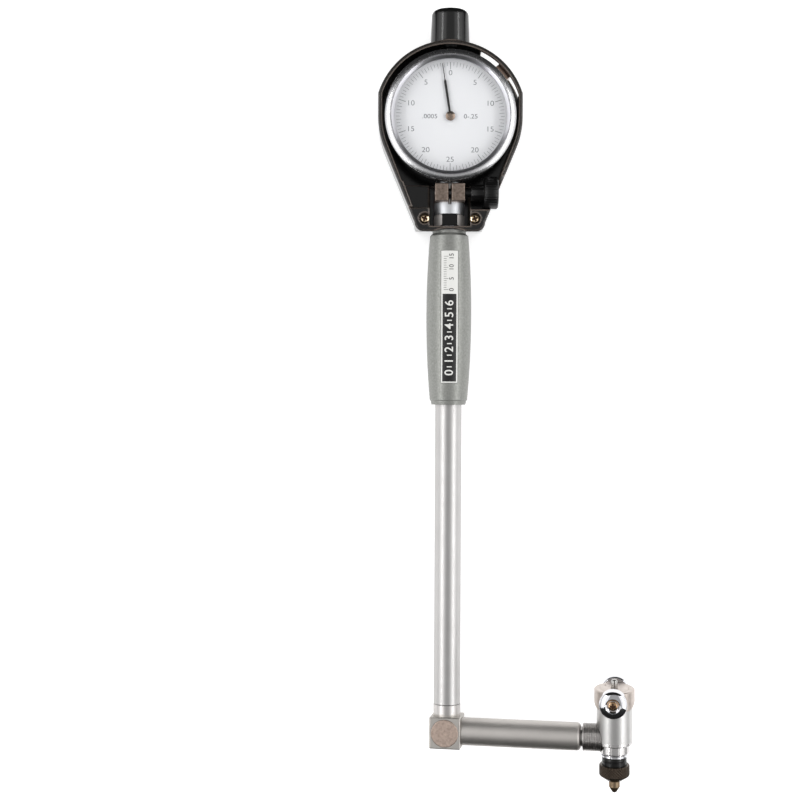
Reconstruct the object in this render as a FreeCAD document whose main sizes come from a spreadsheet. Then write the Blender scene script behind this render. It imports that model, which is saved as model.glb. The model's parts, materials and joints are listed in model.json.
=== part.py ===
import FreeCAD, Part
import math
import os
import re
import Sketcher
from FreeCAD import Placement, Rotation, Vector

# Dial bore gauge, lying on the back of its dial guard. The origin is where the dial's axis meets
# the guard's flat back. +Z is the way the dial faces, and +Y runs up the stem to the dial.

doc = FreeCAD.newDocument("DialBoreGauge")
sheet = doc.addObject("Spreadsheet::Sheet", "Sizes")

SIZES = {
    # where the main axes lie
    "stem_height": 12.0,
    "block_drop": 277.7,
    "arm_lift": 10.5,
    "head_reach": 75.5,
    "head_tilt": 6.0,
    # fits
    "running_gap": 0.04,
    "seat_gap": 0.02,
    "free_gap": 0.3,
    "cut_over": 1.0,
    "edge_break": 0.4,
    # dial case
    "case_radius": 27.0,
    "case_wall": 1.6,
    "case_back": 4.0,
    "case_front": 19.5,
    "case_cover": 1.3,
    "case_plate": 1.2,
    "case_lip": 0.8,
    "clamp_lug": 0.5,
    "cover_screw_radius": 1.3,
    "cover_screw_circle": 22.0,
    "cover_screw_share": 0.6,
    "cover_screw_height": 0.5,
    "boss_radius": 6.1,
    "boss_length": 2.6,
    "dial_stem_radius": 4.0,
    "dial_stem_end": 46.5,
    "cap_radius": 3.0,
    "cap_length": 9.0,
    "cap_wall": 0.8,
    "cap_bevel": 0.6,
    "stem_socket": 4.5,
    # bezel, face and crystal
    "bezel_wall": 2.4,
    "bezel_gap": 0.12,
    "bezel_back": 18.4,
    "bezel_front": 25.5,
    "bezel_round": 1.9,
    "bezel_groove": 0.4,
    "bezel_lip": 1.2,
    "face_inset": 0.7,
    "face_back": 19.6,
    "face_thickness": 0.4,
    "crystal_front": 22.9,
    "crystal_thickness": 1.2,
    "bezel_clamp_angle": 41.0,
    "bezel_clamp_width": 7.6,
    "bezel_clamp_reach": 32.6,
    "bezel_clamp_back": 11.0,
    "bezel_clamp_front": 17.6,
    "bezel_screw_radius": 1.0,
    "bezel_screw_head": 2.0,
    "bezel_screw_height": 1.3,
    # movement
    "spindle_radius": 2.0,
    "spindle_top": 30.0,
    "spindle_end": 47.4,
    "rack_line": 1.4,
    "rack_radius": 2.02,
    "wheel_ratio": 10.0,
    "wheel_radius": 8.0,
    "wheel_height": 16.0,
    "wheel_thickness": 0.5,
    "arbor_radius": 0.5,
    "arbor_room": 0.4,
    "arbor_tail": 0.6,
    "rack_start": 8.1,
    "rack_end": 20.25,
    "plate_height": 15.0,
    "plate_thickness": 0.7,
    "plate_radius": 20.0,
    # pointer
    "pointer_height": 20.7,
    "pointer_thickness": 0.25,
    "pointer_length": 24.2,
    "blade_length": 16.8,
    "blade_half": 0.55,
    "needle_half": 0.18,
    "blade_root_half": 0.48,
    "pointer_tail": 1.6,
    "hub_radius": 2.1,
    "hub_back": 0.3,
    "hub_rim": 0.1,
    "hub_height": 0.5,
    "blade_point": 1.0,
    "pointer_angle": 8.8,
    # guard
    "guard_radius": 34.0,
    "guard_half": 32.45,
    "guard_corner": 7.7,
    "guard_bend": 37.0,
    "guard_foot": 15.9,
    "guard_foot_drop": 47.7,
    "guard_foot_round": 4.2,
    "guard_end": 51.8,
    "guard_end_half": 12.0,
    "guard_foot_draft": 5.4,
    "guard_arch_half": 7.7,
    "guard_arch_radius": 20.0,
    "guard_depth": 22.0,
    "guard_wall": 1.8,
    "guard_floor": 2.0,
    "guard_edge": 0.8,
    "apron_floor": 8.0,
    "apron_start": 29.5,
    "apron_inset": 1.98,
    "seam_drop": 40.8,
    "seam_gap": 0.15,
    "channel_half": 9.2,
    "channel_floor": 3.6,
    "recess_end": 49.4,
    "clamp_front": 21.0,
    "window_start": 17.3,
    "window_end": 65.0,
    "window_front": 19.5,
    "window_reach": 2.0,
    "window_bulge": 6.0,
    "chimney_radius": 8.9,
    "chimney_top_radius": 8.4,
    "chimney_top": 49.4,
    "chimney_round": 2.6,
    "chimney_bore": 4.4,
    "chimney_floor": 45.5,
    "chimney_root": 6.0,
    "guard_screw_x": 11.3,
    "guard_screw_drop": 45.9,
    "guard_screw_head": 2.25,
    "guard_screw_shank": 1.3,
    "guard_screw_seat": 18.6,
    "guard_screw_start": 3.5,
    "guard_screw_rim": 0.9,
    "guard_screw_dome": 0.7,
    "guard_screw_top": 1.4,
    # clamp neck and its screw
    "neck_radius": 6.85,
    "neck_block_top": 30.2,
    "neck_block_end": 38.2,
    "neck_block_half": 6.7,
    "neck_block_back": 6.6,
    "neck_block_front": 10.0,
    "neck_slot": 1.5,
    "neck_slot_extra": 1.1,
    "neck_block_round": 1.2,
    "neck_block_bevel": 0.45,
    "neck_end": 60.0,
    "neck_thread_radius": 5.6,
    "clamp_screw_drop": 34.3,
    "clamp_screw_height": 19.2,
    "clamp_shank_radius": 2.0,
    "clamp_shank_start": 5.0,
    "clamp_collar_start": 9.4,
    "clamp_collar_radius": 3.75,
    "knob_start": 15.2,
    "knob_radius": 7.25,
    "knob_length": 6.4,
    "knob_bevel": 0.7,
    # nut and washer
    "nut_top": 43.5,
    "nut_length": 5.4,
    "nut_flats": 12.0,
    "nut_bevel": 0.5,
    "washer_radius": 6.6,
    "washer_thickness": 1.3,
    # grip
    "grip_top": 50.7,
    "grip_end": 129.6,
    "lip_wall": 1.6,
    "lip_length": 1.4,
    "shoulder_wall": 2.75,
    "shoulder_length": 1.1,
    "barrel_bow": 437.0,
    "barrel_wall": 2.5,
    "barrel_end": 127.6,
    "grip_end_wall": 1.7,
    "grip_groove": 0.5,
    "groove_start": 0.3,
    "groove_end": 0.8,
    "label_half": 3.9,
    "label_top": 60.3,
    "label_end": 119.9,
    "label_recess": 0.45,
    "label_thickness": 0.3,
    "label_glue": 0.05,
    "label_margin": 0.1,
    "label_depth": 2.0,
    # stem
    "stem_radius": 6.0,
    "stem_wall": 1.4,
    "stem_stop": 12.5,
    "spigot_step": 0.2,
    "stem_land": 0.8,
    "stem_land_length": 2.0,
    "spigot_depth": 1.0,
    "bush_inset": 2.0,
    "stem_rod_radius": 2.0,
    "bush_length": 8.0,
    # corner block
    "block_side": 14.2,
    "block_edge": 0.6,
    "block_neck_wall": 0.1,
    "block_neck_length": 12.3,
    "lever_bore": 5.6,
    "lever_floor": 2.0,
    "block_cover_radius": 6.2,
    "block_cover_thickness": 1.0,
    "block_cover_proud": 0.15,
    # levers
    "lever_arm": 3.6,
    "lever_half": 1.1,
    "lever_tip": 0.9,
    "lever_web": 0.5,
    "lever_hub": 1.5,
    "lever_pin": 0.8,
    "lever_pin_length": 7.0,
    # arm
    "arm_radius": 6.25,
    "arm_wall": 2.2,
    "arm_spigot": 1.2,
    "bush_wall": 1.2,
    "arm_socket": 0.4,
    "collar_spigot": 4.0,
    "collar_seat": 0.9,
    "arm_stop": 14.9,
    "arm_round": 1.6,
    "arm_groove": 1.0,
    "arm_rod_radius": 1.5,
    "rod_nose_radius": 0.5,
    "rod_nose_length": 0.8,
    "collar_stop": 13.9,
    "collar_step": 0.1,
    "collar_chamfer": 0.8,
    # measuring head
    "head_radius": 7.9,
    "head_top": 19.2,
    "head_bottom": 2.3,
    "head_step": 1.3,
    "head_step_end": 6.8,
    "head_chamfer": 0.8,
    "head_slot": 3.2,
    "head_slot_back": 1.3,
    "head_slot_drop": 1.9,
    "head_slot_room": 2.4,
    "head_rod_start": 2.6,
    "head_break": 0.3,
    "ring_radius": 5.9,
    "ring_end": 7.9,
    "seat_radius": 5.5,
    "seat_end": 12.6,
    "nut_knurl_radius": 6.85,
    "nut_knurl_start": 11.9,
    "nut_knurl_end": 17.0,
    "nut_cone_end": 19.2,
    "nut_cone_radius": 3.4,
    "anvil_radius": 2.45,
    "anvil_straight": 22.2,
    "anvil_end": 25.0,
    "anvil_point_radius": 0.8,
    "anvil_top": 9.0,
    "anvil_bevel": 0.5,
    "contact_radius": 1.45,
    "contact_top": 26.9,
    "contact_round": 1.1,
    "plunger_radius": 2.2,
    "plunger_top": 17.0,
    "plunger_foot_radius": 1.3,
    "plunger_foot_top": 7.4,
    # bridge and rollers
    "bridge_wall": 1.05,
    "bridge_bottom": 14.4,
    "bridge_top": 22.8,
    "bridge_edge": 0.4,
    "bridge_ring_radius": 6.3,
    "bridge_ring_width": 0.7,
    "bridge_ring_depth": 0.35,
    "bridge_pin_radius": 0.5,
    "bridge_pin_depth": 1.0,
    "bridge_pin_x": 4.1,
    "bridge_pin_z": 4.0,
    "bridge_hub_radius": 3.2,
    "bridge_hub_root": 0.5,
    "bridge_hub_gap": 0.1,
    "bridge_lower_round": 3.2,
    "bridge_ceiling": 21.4,
    "roller_radius": 6.15,
    "roller_thickness": 6.4,
    "roller_gap": 0.15,
    "roller_height": 19.05,
    "roller_dome": 2.4,
    "roller_recess": 3.6,
    "roller_recess_depth": 0.7,
    "roller_land": 0.3,
    "roller_shoulder": 0.6,
    "roller_break": 0.5,
    "axle_radius": 1.6,
    "axle_head_radius": 2.1,
    "axle_gap": 0.16,
    "axle_head_height": 0.8,
    "axle_head_break": 0.3,
}

WORKED = {
    "nut_end": "nut_top + nut_length",
    "block_top": "block_drop - block_side / 2",
    "stem_end": "block_drop - stem_stop",
    "stem_spigot": "stem_bore + spigot_step",
    "lip_radius": "stem_radius + lip_wall",
    "shoulder_radius": "stem_radius + shoulder_wall",
    "barrel_end_radius": "stem_radius + barrel_wall",
    "grip_end_radius": "stem_radius + grip_end_wall",
    "block_neck_radius": "stem_radius + block_neck_wall",
    "arm_end": "head_reach - arm_stop",
    "collar_start": "head_reach - collar_stop",
    "collar_radius": "arm_radius + collar_step",
    "head_step_radius": "head_radius - head_step",
    "bridge_radius": "head_radius + bridge_wall",
    "roller_place": "bridge_radius + roller_gap",
    "bezel_radius": "case_radius + bezel_wall",
    "bezel_land": "case_radius",
    "bezel_window": "face_radius - bezel_lip",
    "face_radius": "case_radius - face_inset",
    "guard_shoulder": "sqrt(guard_radius ^ 2 - guard_half ^ 2)",
    "guard_slope": "(guard_half - guard_foot) / (guard_foot_drop - guard_corner)",
    "bend_reach": "guard_bend * tan(atan(guard_slope) / 2)",
    "bend_end_x": "guard_half - bend_reach * sin(atan(guard_slope))",
    "bend_end_y": "0 - guard_corner - bend_reach * cos(atan(guard_slope))",
    "shoulder_end": "grip_top + lip_length + shoulder_length",
    "stem_bore": "stem_radius - stem_wall",
    "arm_bore": "arm_radius - arm_wall",
    "face_front": "face_back + face_thickness",
    "crystal_back": "crystal_front - crystal_thickness",
    "crystal_radius": "face_radius",
    "bezel_bore": "face_radius + seat_gap",
    "pinion_x": "rack_line + rack_radius",
    "centre_pinion": "wheel_radius / wheel_ratio",
    "bezel_clamp_middle": "(bezel_clamp_back + bezel_clamp_front) / 2",
    "rod_bush_radius": "arm_rod_radius + running_gap + bush_wall",
    "cover_seat_level": "block_side / 2 - block_cover_thickness + block_cover_proud",
    "roller_end": "roller_place + roller_thickness",
    "mesh_reach": "wheel_radius + centre_pinion",
    "pinion_y": "sqrt(mesh_reach ^ 2 - pinion_x ^ 2)",
    "washer_top": "grip_top - washer_thickness",
    "clamp_seam_half": "guard_foot + (guard_foot_drop - seam_drop - seam_gap) * guard_slope",
}


def expanded(text, prefix):
    def swap(found):
        word = found.group(0)
        if word in WORKED:
            return "(" + expanded(WORKED[word], prefix) + ")"
        return prefix + word if word in SIZES else word

    return re.sub(r"[a-z_]+", swap, str(text))


def value(text):
    return float(sheet.evalExpression(expanded(text, "")))


def bind(item, name, text):
    item.setExpression(name, expanded(text, "Sizes."))


for row, (alias, number) in enumerate(SIZES.items(), start=1):
    sheet.set(f"A{row}", alias)
    sheet.set(f"B{row}", str(number))
    sheet.setAlias(f"B{row}", alias)
doc.recompute()

# An outline is a list of corners. A corner is (x, y), or (x, y, side, radius) where the edge that
# leaves it is an arc that turns to that side.


def edge(start, end, bow):
    if not bow:
        return Part.LineSegment(start, end), (1, 2)
    side, radius = bow[0], value(bow[1])
    chord = end - start
    reach = math.sqrt(radius ** 2 - (chord.Length / 2) ** 2)
    sideways = Vector(-chord.y, chord.x, 0).normalize() * reach
    turns_left = side == "left"
    centre = (start + end) / 2 + (sideways if turns_left else -sideways)
    first, last = (start, end) if turns_left else (end, start)
    angles = [math.atan2(p.y - centre.y, p.x - centre.x) for p in (first, last)]
    if angles[1] <= angles[0]:
        angles[1] += 2 * math.pi
    arc = Part.ArcOfCircle(Part.Circle(centre, Vector(0, 0, 1), radius), *angles)
    return arc, (1, 2) if turns_left else (2, 1)


def draw(sketch, corners):
    places = [Vector(value(corner[0]), value(corner[1]), 0) for corner in corners]
    count = len(corners)
    base = sketch.GeometryCount
    edges = [edge(places[i], places[(i + 1) % count], corners[i][2:]) for i in range(count)]
    sketch.addGeometry([item[0] for item in edges], False)
    rules = []
    texts = []
    for i, corner in enumerate(corners):
        following = (i + 1) % count
        end = edges[i][1][1]
        next_start = edges[following][1][0]
        rules.append(Sketcher.Constraint("Coincident", base + i, end, base + following, next_start))
        texts.append(None)
    for i, corner in enumerate(corners):
        for kind, place, text in (("DistanceX", places[i].x, corner[0]),
                                  ("DistanceY", places[i].y, corner[1])):
            rules.append(Sketcher.Constraint(kind, base + i, edges[i][1][0], place))
            texts.append(text)
        if len(corner) > 2:
            rules.append(Sketcher.Constraint("Radius", base + i, value(corner[3])))
            texts.append(corner[3])
    offset = sketch.ConstraintCount
    sketch.addConstraint(rules)
    for i, text in enumerate(texts):
        if text is not None:
            bind(sketch, f"Constraints[{offset + i}]", text)


def draw_circle(sketch, x, y, radius):
    place = Vector(value(x), value(y), 0)
    index = sketch.addGeometry(Part.Circle(place, Vector(0, 0, 1), value(radius)), False)
    offset = sketch.ConstraintCount
    sketch.addConstraint([
        Sketcher.Constraint("DistanceX", index, 3, place.x),
        Sketcher.Constraint("DistanceY", index, 3, place.y),
        Sketcher.Constraint("Radius", index, value(radius)),
    ])
    for step, text in enumerate((x, y, radius)):
        bind(sketch, f"Constraints[{offset + step}]", text)


def new_sketch(body, plane, level="0"):
    sketch = body.newObject("Sketcher::SketchObject", body.Name + "_outline")
    origin_plane = next(item for item in body.Origin.OriginFeatures if item.Role == plane)
    sketch.AttachmentSupport = [(origin_plane, "")]
    sketch.MapMode = "FlatFace"
    if level != "0":
        sketch.AttachmentOffset = Placement(Vector(0, 0, value(level)), Rotation())
        bind(sketch, "AttachmentOffset.Base.z", level)
    return sketch


# Turned pieces: corners are (radius, place along the axis).


def turned(name, corners, axis="Y"):
    body = doc.addObject("PartDesign::Body", name)
    sketch = new_sketch(body, "XZ_Plane" if axis == "Z" else "XY_Plane")
    if axis == "X":
        flipped = {"left": "right", "right": "left"}
        corners = [(c[1], c[0]) + ((flipped[c[2]], c[3]) if len(c) > 2 else ()) for c in corners]
    draw(sketch, corners)
    spin = body.newObject("PartDesign::Revolution", name + "_spin")
    spin.Profile = sketch
    spin.ReferenceAxis = (sketch, ["H_Axis" if axis == "X" else "V_Axis"])
    spin.Angle = 360
    doc.recompute()
    return body


# Flat pieces: outlines in the XY plane, raised along Z from one level to another.


def flat(name, outlines, bottom, top, circles=()):
    body = doc.addObject("PartDesign::Body", name)
    sketch = new_sketch(body, "XY_Plane", bottom)
    for corners in outlines:
        draw(sketch, corners)
    for x, y, radius in circles:
        draw_circle(sketch, x, y, radius)
    pad = body.newObject("PartDesign::Pad", name + "_pad")
    pad.Profile = sketch
    bind(pad, "Length", f"({top}) - ({bottom})")
    doc.recompute()
    return body


def move(item, x="0", y="0", z="0"):
    for axis, text in (("x", x), ("y", y), ("z", z)):
        if text != "0":
            bind(item, f"Placement.Base.{axis}", text)
    doc.recompute()
    return item


def cylinder(name, radius, length, direction=Vector(0, 0, 1), start=("0", "0", "0")):
    item = doc.addObject("Part::Cylinder", name)
    bind(item, "Radius", radius)
    bind(item, "Height", length)
    item.Placement = Placement(Vector(), Rotation(Vector(0, 0, 1), direction))
    return move(item, *start)


def box(name, low, high):
    item = doc.addObject("Part::Box", name)
    for side, a, b in zip(("Length", "Width", "Height"), low, high):
        bind(item, side, f"({b}) - ({a})")
    return move(item, *low)


def cut(name, base, *tools):
    tool = tools[0]
    if len(tools) > 1:
        tool = doc.addObject("Part::MultiFuse", name + "_tools")
        tool.Shapes = list(tools)
    item = doc.addObject("Part::Cut", name)
    item.Base = base
    item.Tool = tool
    doc.recompute()
    return item


def fuse(name, *shapes):
    item = doc.addObject("Part::MultiFuse", name)
    item.Shapes = list(shapes)
    item.Refine = True
    doc.recompute()
    return item


def common(name, base, tool):
    item = doc.addObject("Part::MultiCommon", name)
    item.Shapes = [base, tool]
    doc.recompute()
    return item


def rounded(name, base, radius, wanted):
    item = doc.addObject("Part::Fillet", name)
    item.Base = base
    item.Edges = [(i, value(radius), value(radius))
                  for i, e in enumerate(base.Shape.Edges, start=1) if wanted(e)]
    doc.recompute()
    return item


def is_level(edge_shape, height):
    box_of = edge_shape.BoundBox
    return abs(box_of.ZMin - height) < 1e-4 and abs(box_of.ZMax - height) < 1e-4


nodes = {}


def node(name, item, frame=None):
    item.Label = name
    if frame is not None:
        for axis in ("x", "y", "z"):
            item.setExpression(f"Placement.Base.{axis}", None)
        item.Placement = frame.multiply(item.Placement)
    nodes[name] = item
    return item


stem_frame = Placement(Vector(0, 0, value("stem_height")), Rotation())
block_frame = Placement(Vector(0, -value("block_drop"), value("stem_height")),
                        Rotation(Vector(0, 1, 0), -value("arm_lift")))
head_frame = block_frame.multiply(Placement(Vector(value("head_reach"), 0, 0),
                                            Rotation(Vector(1, 0, 0), value("head_tilt"))))

# Guard: a moulded shell with a pocket for the dial, a chimney over the spindle, a window beside
# the bezel clamp and a notch for the clamp screw's knob. Its lower end is split at the stem.

GUARD_OUTLINE = [
    ("guard_half", "guard_shoulder", "left", "guard_radius"),
    ("0 - guard_half", "guard_shoulder"),
    ("0 - guard_half", "bend_reach - guard_corner", "left", "guard_bend"),
    ("0 - bend_end_x", "bend_end_y"),
    ("0 - guard_foot", "0 - guard_foot_drop", "left", "guard_foot_round"),
    ("0 - guard_end_half", "0 - guard_end"),
    ("guard_end_half", "0 - guard_end", "left", "guard_foot_round"),
    ("guard_foot", "0 - guard_foot_drop"),
    ("bend_end_x", "bend_end_y", "left", "guard_bend"),
    ("guard_half", "bend_reach - guard_corner"),
]


# The foot leans back, as a moulding's draft does, so its lower face leaves the tool.
def foot_draft(name):
    wedge = box(name, ("0 - guard_half", "0 - guard_end", "clamp_front"),
                ("guard_half", "0 - guard_foot_drop", "clamp_front + guard_depth * 2"))
    half_turn = 180
    wedge.Placement = Placement(wedge.Placement.Base,
                                Rotation(Vector(1, 0, 0), half_turn + value("guard_foot_draft")))
    doc.recompute()
    return wedge


def guard_shell():
    blank = flat("guard_blank", [GUARD_OUTLINE], "0", "guard_depth")
    front = rounded("guard_rounded", blank, "guard_edge", lambda e: is_level(e, value("guard_depth")))
    back = rounded("guard_softened", front, "guard_edge", lambda e: is_level(e, 0))
    chimney = turned("guard_chimney", [
        ("0", "guard_radius - chimney_root"),
        ("chimney_radius", "guard_radius - chimney_root"),
        ("chimney_radius", "guard_radius"),
        ("chimney_top_radius", "chimney_top - chimney_round", "left", "chimney_round"),
        ("chimney_top_radius - chimney_round", "chimney_top"),
        ("0", "chimney_top"),
    ])
    move(chimney, z="stem_height")
    outer = fuse("guard_outer", back, chimney)
    pocket = flat("guard_pocket", [[
        ("guard_half - guard_wall", "sqrt((guard_radius - guard_wall) ^ 2 - (guard_half - guard_wall) ^ 2)",
         "left", "guard_radius - guard_wall"),
        ("guard_wall - guard_half",
         "sqrt((guard_radius - guard_wall) ^ 2 - (guard_half - guard_wall) ^ 2)"),
        ("guard_wall - guard_half", "bend_reach - guard_corner", "left", "guard_bend - guard_wall"),
        ("guard_wall - bend_end_x", "bend_end_y + guard_wall * guard_slope"),
        ("guard_wall - bend_end_x + (apron_start + bend_end_y) * guard_slope", "0 - apron_start"),
        ("bend_end_x - guard_wall - (apron_start + bend_end_y) * guard_slope", "0 - apron_start"),
        ("bend_end_x - guard_wall", "bend_end_y + guard_wall * guard_slope", "left",
         "guard_bend - guard_wall"),
        ("guard_half - guard_wall", "bend_reach - guard_corner"),
    ]], "guard_floor", "guard_depth + cut_over")
    apron = flat("guard_apron", [[
        ("bend_end_x - apron_inset - (apron_start + bend_end_y) * guard_slope", "cut_over - apron_start"),
        ("apron_inset - bend_end_x + (apron_start + bend_end_y) * guard_slope", "cut_over - apron_start"),
        ("apron_inset - bend_end_x + (seam_drop + bend_end_y) * guard_slope", "0 - seam_drop"),
        ("bend_end_x - apron_inset - (seam_drop + bend_end_y) * guard_slope", "0 - seam_drop"),
    ]], "apron_floor", "guard_depth + cut_over")
    split = box("guard_split", ("0 - guard_half", "0 - guard_end - cut_over", "stem_height"),
                ("guard_half", "0 - seam_drop", "guard_depth + cut_over"))
    channel = box("guard_channel", ("0 - channel_half", "0 - recess_end", "channel_floor"),
                  ("channel_half", "cut_over * 2 - apron_start", "guard_depth + cut_over"))
    throat = cylinder("guard_throat", "lip_radius + free_gap", "guard_end + cut_over - seam_drop",
                      Vector(0, -1, 0), ("0", "0 - seam_drop", "stem_height"))
    bore = cylinder("guard_chimney_bore", "chimney_bore", "chimney_floor - guard_radius / 2",
                    Vector(0, 1, 0), ("0", "guard_radius / 2", "stem_height"))
    window = flat("guard_window", [[
        ("(guard_radius - guard_wall * 2) * cos(window_start)",
         "(guard_radius - guard_wall * 2) * sin(window_start)"),
        ("(guard_radius + window_reach) * cos(window_start)",
         "(guard_radius + window_reach) * sin(window_start)"),
        ("(guard_radius + window_bulge) * cos((window_start + window_end) / 2)",
         "(guard_radius + window_bulge) * sin((window_start + window_end) / 2)"),
        ("(guard_radius + window_reach) * cos(window_end)",
         "(guard_radius + window_reach) * sin(window_end)"),
        ("(guard_radius - guard_wall * 2) * cos(window_end)",
         "(guard_radius - guard_wall * 2) * sin(window_end)",
         "right", "guard_radius - guard_wall * 2"),
    ]], "guard_floor", "window_front")
    knob_notch = cylinder("guard_knob_notch", "knob_radius + free_gap * 2", "guard_half",
                          Vector(1, 0, 0), ("clamp_collar_start", "0 - clamp_screw_drop",
                                            "clamp_screw_height"))
    holes = [cylinder(f"guard_screw_hole_{side}", "guard_screw_shank + seat_gap", "guard_depth",
                      start=(f"{sign} guard_screw_x", "0 - guard_screw_drop", "guard_floor + cut_over"))
             for side, sign in (("left", "0 -"), ("right", "0 +"))]
    return cut("guard_shell_body", outer, pocket, apron, split, channel, throat, bore, window, knob_notch,
               foot_draft("shell_draft"), *holes)


def guard_clamp():
    blank = flat("clamp_blank", [[
        ("0 - clamp_seam_half", "0 - seam_drop - seam_gap"),
        ("0 - guard_foot", "0 - guard_foot_drop", "left", "guard_foot_round"),
        ("0 - guard_end_half", "0 - guard_end"),
        ("guard_end_half", "0 - guard_end", "left", "guard_foot_round"),
        ("guard_foot", "0 - guard_foot_drop"),
        ("clamp_seam_half", "0 - seam_drop - seam_gap"),
    ]], "stem_height + seat_gap", "clamp_front")
    soft = rounded("clamp_soft", blank, "guard_edge", lambda e: is_level(e, value("clamp_front")))
    recess = box("clamp_recess", ("0 - channel_half", "0 - recess_end", "0"),
                 ("channel_half", "cut_over - seam_drop", "guard_depth + cut_over"))
    throat = cylinder("clamp_throat", "lip_radius + free_gap", "guard_end", Vector(0, -1, 0),
                      ("0", "0 - seam_drop", "stem_height"))
    tools = [cylinder("clamp_knob_notch", "knob_radius + free_gap * 2", "guard_half", Vector(1, 0, 0),
                      ("clamp_collar_start", "0 - clamp_screw_drop", "clamp_screw_height"))]
    for side, sign in (("left", "0 -"), ("right", "0 +")):
        place = (f"{sign} guard_screw_x", "0 - guard_screw_drop")
        tools.append(cylinder(f"clamp_hole_{side}", "guard_screw_shank + seat_gap", "guard_depth",
                              start=place + ("guard_floor",)))
        tools.append(cylinder(f"clamp_counterbore_{side}", "guard_screw_head + free_gap", "guard_depth",
                              start=place + ("guard_screw_seat",)))
    arch = flat("clamp_arch", [[
        ("0 - guard_arch_half", "0 - guard_end - cut_over"),
        ("guard_arch_half", "0 - guard_end - cut_over"),
        ("guard_arch_half", "0 - guard_end", "left", "guard_arch_radius"),
        ("0 - guard_arch_half", "0 - guard_end"),
    ]], "stem_height", "guard_depth + cut_over")
    return cut("guard_clamp_body", soft, recess, throat, arch, foot_draft("clamp_draft"), *tools)


def guard_screws():
    parts = []
    for side, sign in (("left", "0 -"), ("right", "0 +")):
        x = f"{sign} guard_screw_x"
        parts.append(cylinder(f"guard_screw_shank_{side}", "guard_screw_shank",
                              "guard_screw_seat - guard_screw_start",
                              start=(x, "0 - guard_screw_drop", "guard_screw_start")))
        head = turned(f"guard_screw_head_{side}", [
            ("0", "0"),
            ("guard_screw_head", "0"),
            ("guard_screw_head", "guard_screw_rim", "left", "guard_screw_dome"),
            ("guard_screw_head - guard_screw_dome * 0.85", "guard_screw_top"),
            ("0", "guard_screw_top"),
        ], "Z")
        parts.append(move(head, x, "0 - guard_screw_drop", "guard_screw_seat"))
    return fuse("guard_screws_body", *parts)


def neck():
    tube = turned("neck_tube", [
        ("dial_stem_radius + seat_gap", "0 - neck_block_top - cut_over"),
        ("neck_radius", "0 - neck_block_top - cut_over"),
        ("neck_radius", "0 - nut_top"),
        ("neck_thread_radius", "0 - nut_top"),
        ("neck_thread_radius", "0 - neck_end"),
        ("spindle_radius + free_gap * 2", "0 - neck_end"),
        ("spindle_radius + free_gap * 2", "0 - dial_stem_end - free_gap"),
        ("dial_stem_radius + seat_gap", "0 - dial_stem_end - free_gap"),
    ])
    head = box("neck_head", ("0 - neck_block_half", "0 - neck_block_end", "0 - neck_block_back"),
               ("neck_block_half", "0 - neck_block_top", "neck_block_front"))
    soft = rounded("neck_head_soft", head, "neck_block_round", lambda e: e.BoundBox.ZLength < 1e-4
                   and e.BoundBox.YLength > 1 and e.BoundBox.ZMax < 0)
    whole = fuse("neck_whole", tube, soft)
    stem_bore = cylinder("neck_bore", "dial_stem_radius + seat_gap",
                         "dial_stem_end + free_gap - neck_block_top + cut_over",
                         Vector(0, -1, 0), ("0", "cut_over - neck_block_top", "0"))
    slot = box("neck_slot_cut", ("0 - neck_slot / 2", "0 - neck_block_end - neck_slot_extra", "0"),
               ("neck_slot / 2", "cut_over - neck_block_top", "neck_block_front + cut_over"))
    screw_hole = cylinder("neck_screw_hole", "clamp_shank_radius + seat_gap", "neck_block_half * 3",
                          Vector(1, 0, 0), ("0 - neck_block_half * 1.5", "0 - clamp_screw_drop",
                                            "clamp_screw_height - stem_height"))
    bored = cut("neck_bored", whole, stem_bore, slot, screw_hole)
    return rounded("clamp_neck_body", bored, "neck_block_bevel",
                   lambda e: is_level(e, value("neck_block_front")))


def clamp_screw():
    turned_part = turned("clamp_screw_turned", [
        ("0", "0 - clamp_shank_start"),
        ("clamp_shank_radius - edge_break", "0 - clamp_shank_start"),
        ("clamp_shank_radius", "edge_break - clamp_shank_start"),
        ("clamp_shank_radius", "clamp_collar_start"),
        ("clamp_collar_radius", "clamp_collar_start"),
        ("clamp_collar_radius", "knob_start"),
        ("knob_radius - knob_bevel", "knob_start"),
        ("knob_radius", "knob_start + knob_bevel"),
        ("knob_radius", "knob_start + knob_length - knob_bevel"),
        ("knob_radius - knob_bevel", "knob_start + knob_length"),
        ("0", "knob_start + knob_length"),
    ], "X")
    return move(turned_part, "0", "0 - clamp_screw_drop", "clamp_screw_height")


def lock_nut():
    corner = "nut_flats / 2 / cos(30)"
    hexagon = turned("nut_blank", [
        ("neck_thread_radius + seat_gap", "0 - nut_end"),
        (corner + " - nut_bevel", "0 - nut_end"),
        (corner, "nut_bevel - nut_end"),
        (corner, "0 - nut_top - nut_bevel"),
        (corner + " - nut_bevel", "0 - nut_top"),
        ("neck_thread_radius + seat_gap", "0 - nut_top"),
    ])
    prism = doc.addObject("Part::Prism", "nut_prism")
    prism.Polygon = 6
    bind(prism, "Circumradius", corner)
    bind(prism, "Height", "nut_length + cut_over * 2")
    prism.Placement = Placement(Vector(), Rotation(Vector(1, 0, 0), 90))
    move(prism, "0", "cut_over - nut_top", "0")
    return common("lock_nut_body", hexagon, prism)


def neck_washer():
    return turned("washer_turned", [
        ("neck_thread_radius + seat_gap", "0 - washer_top"),
        ("neck_thread_radius + seat_gap", "0 - grip_top"),
        ("washer_radius", "0 - grip_top"),
        ("washer_radius", "edge_break - grip_top"),
        ("washer_radius - edge_break", "0 - washer_top"),
    ])


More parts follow.
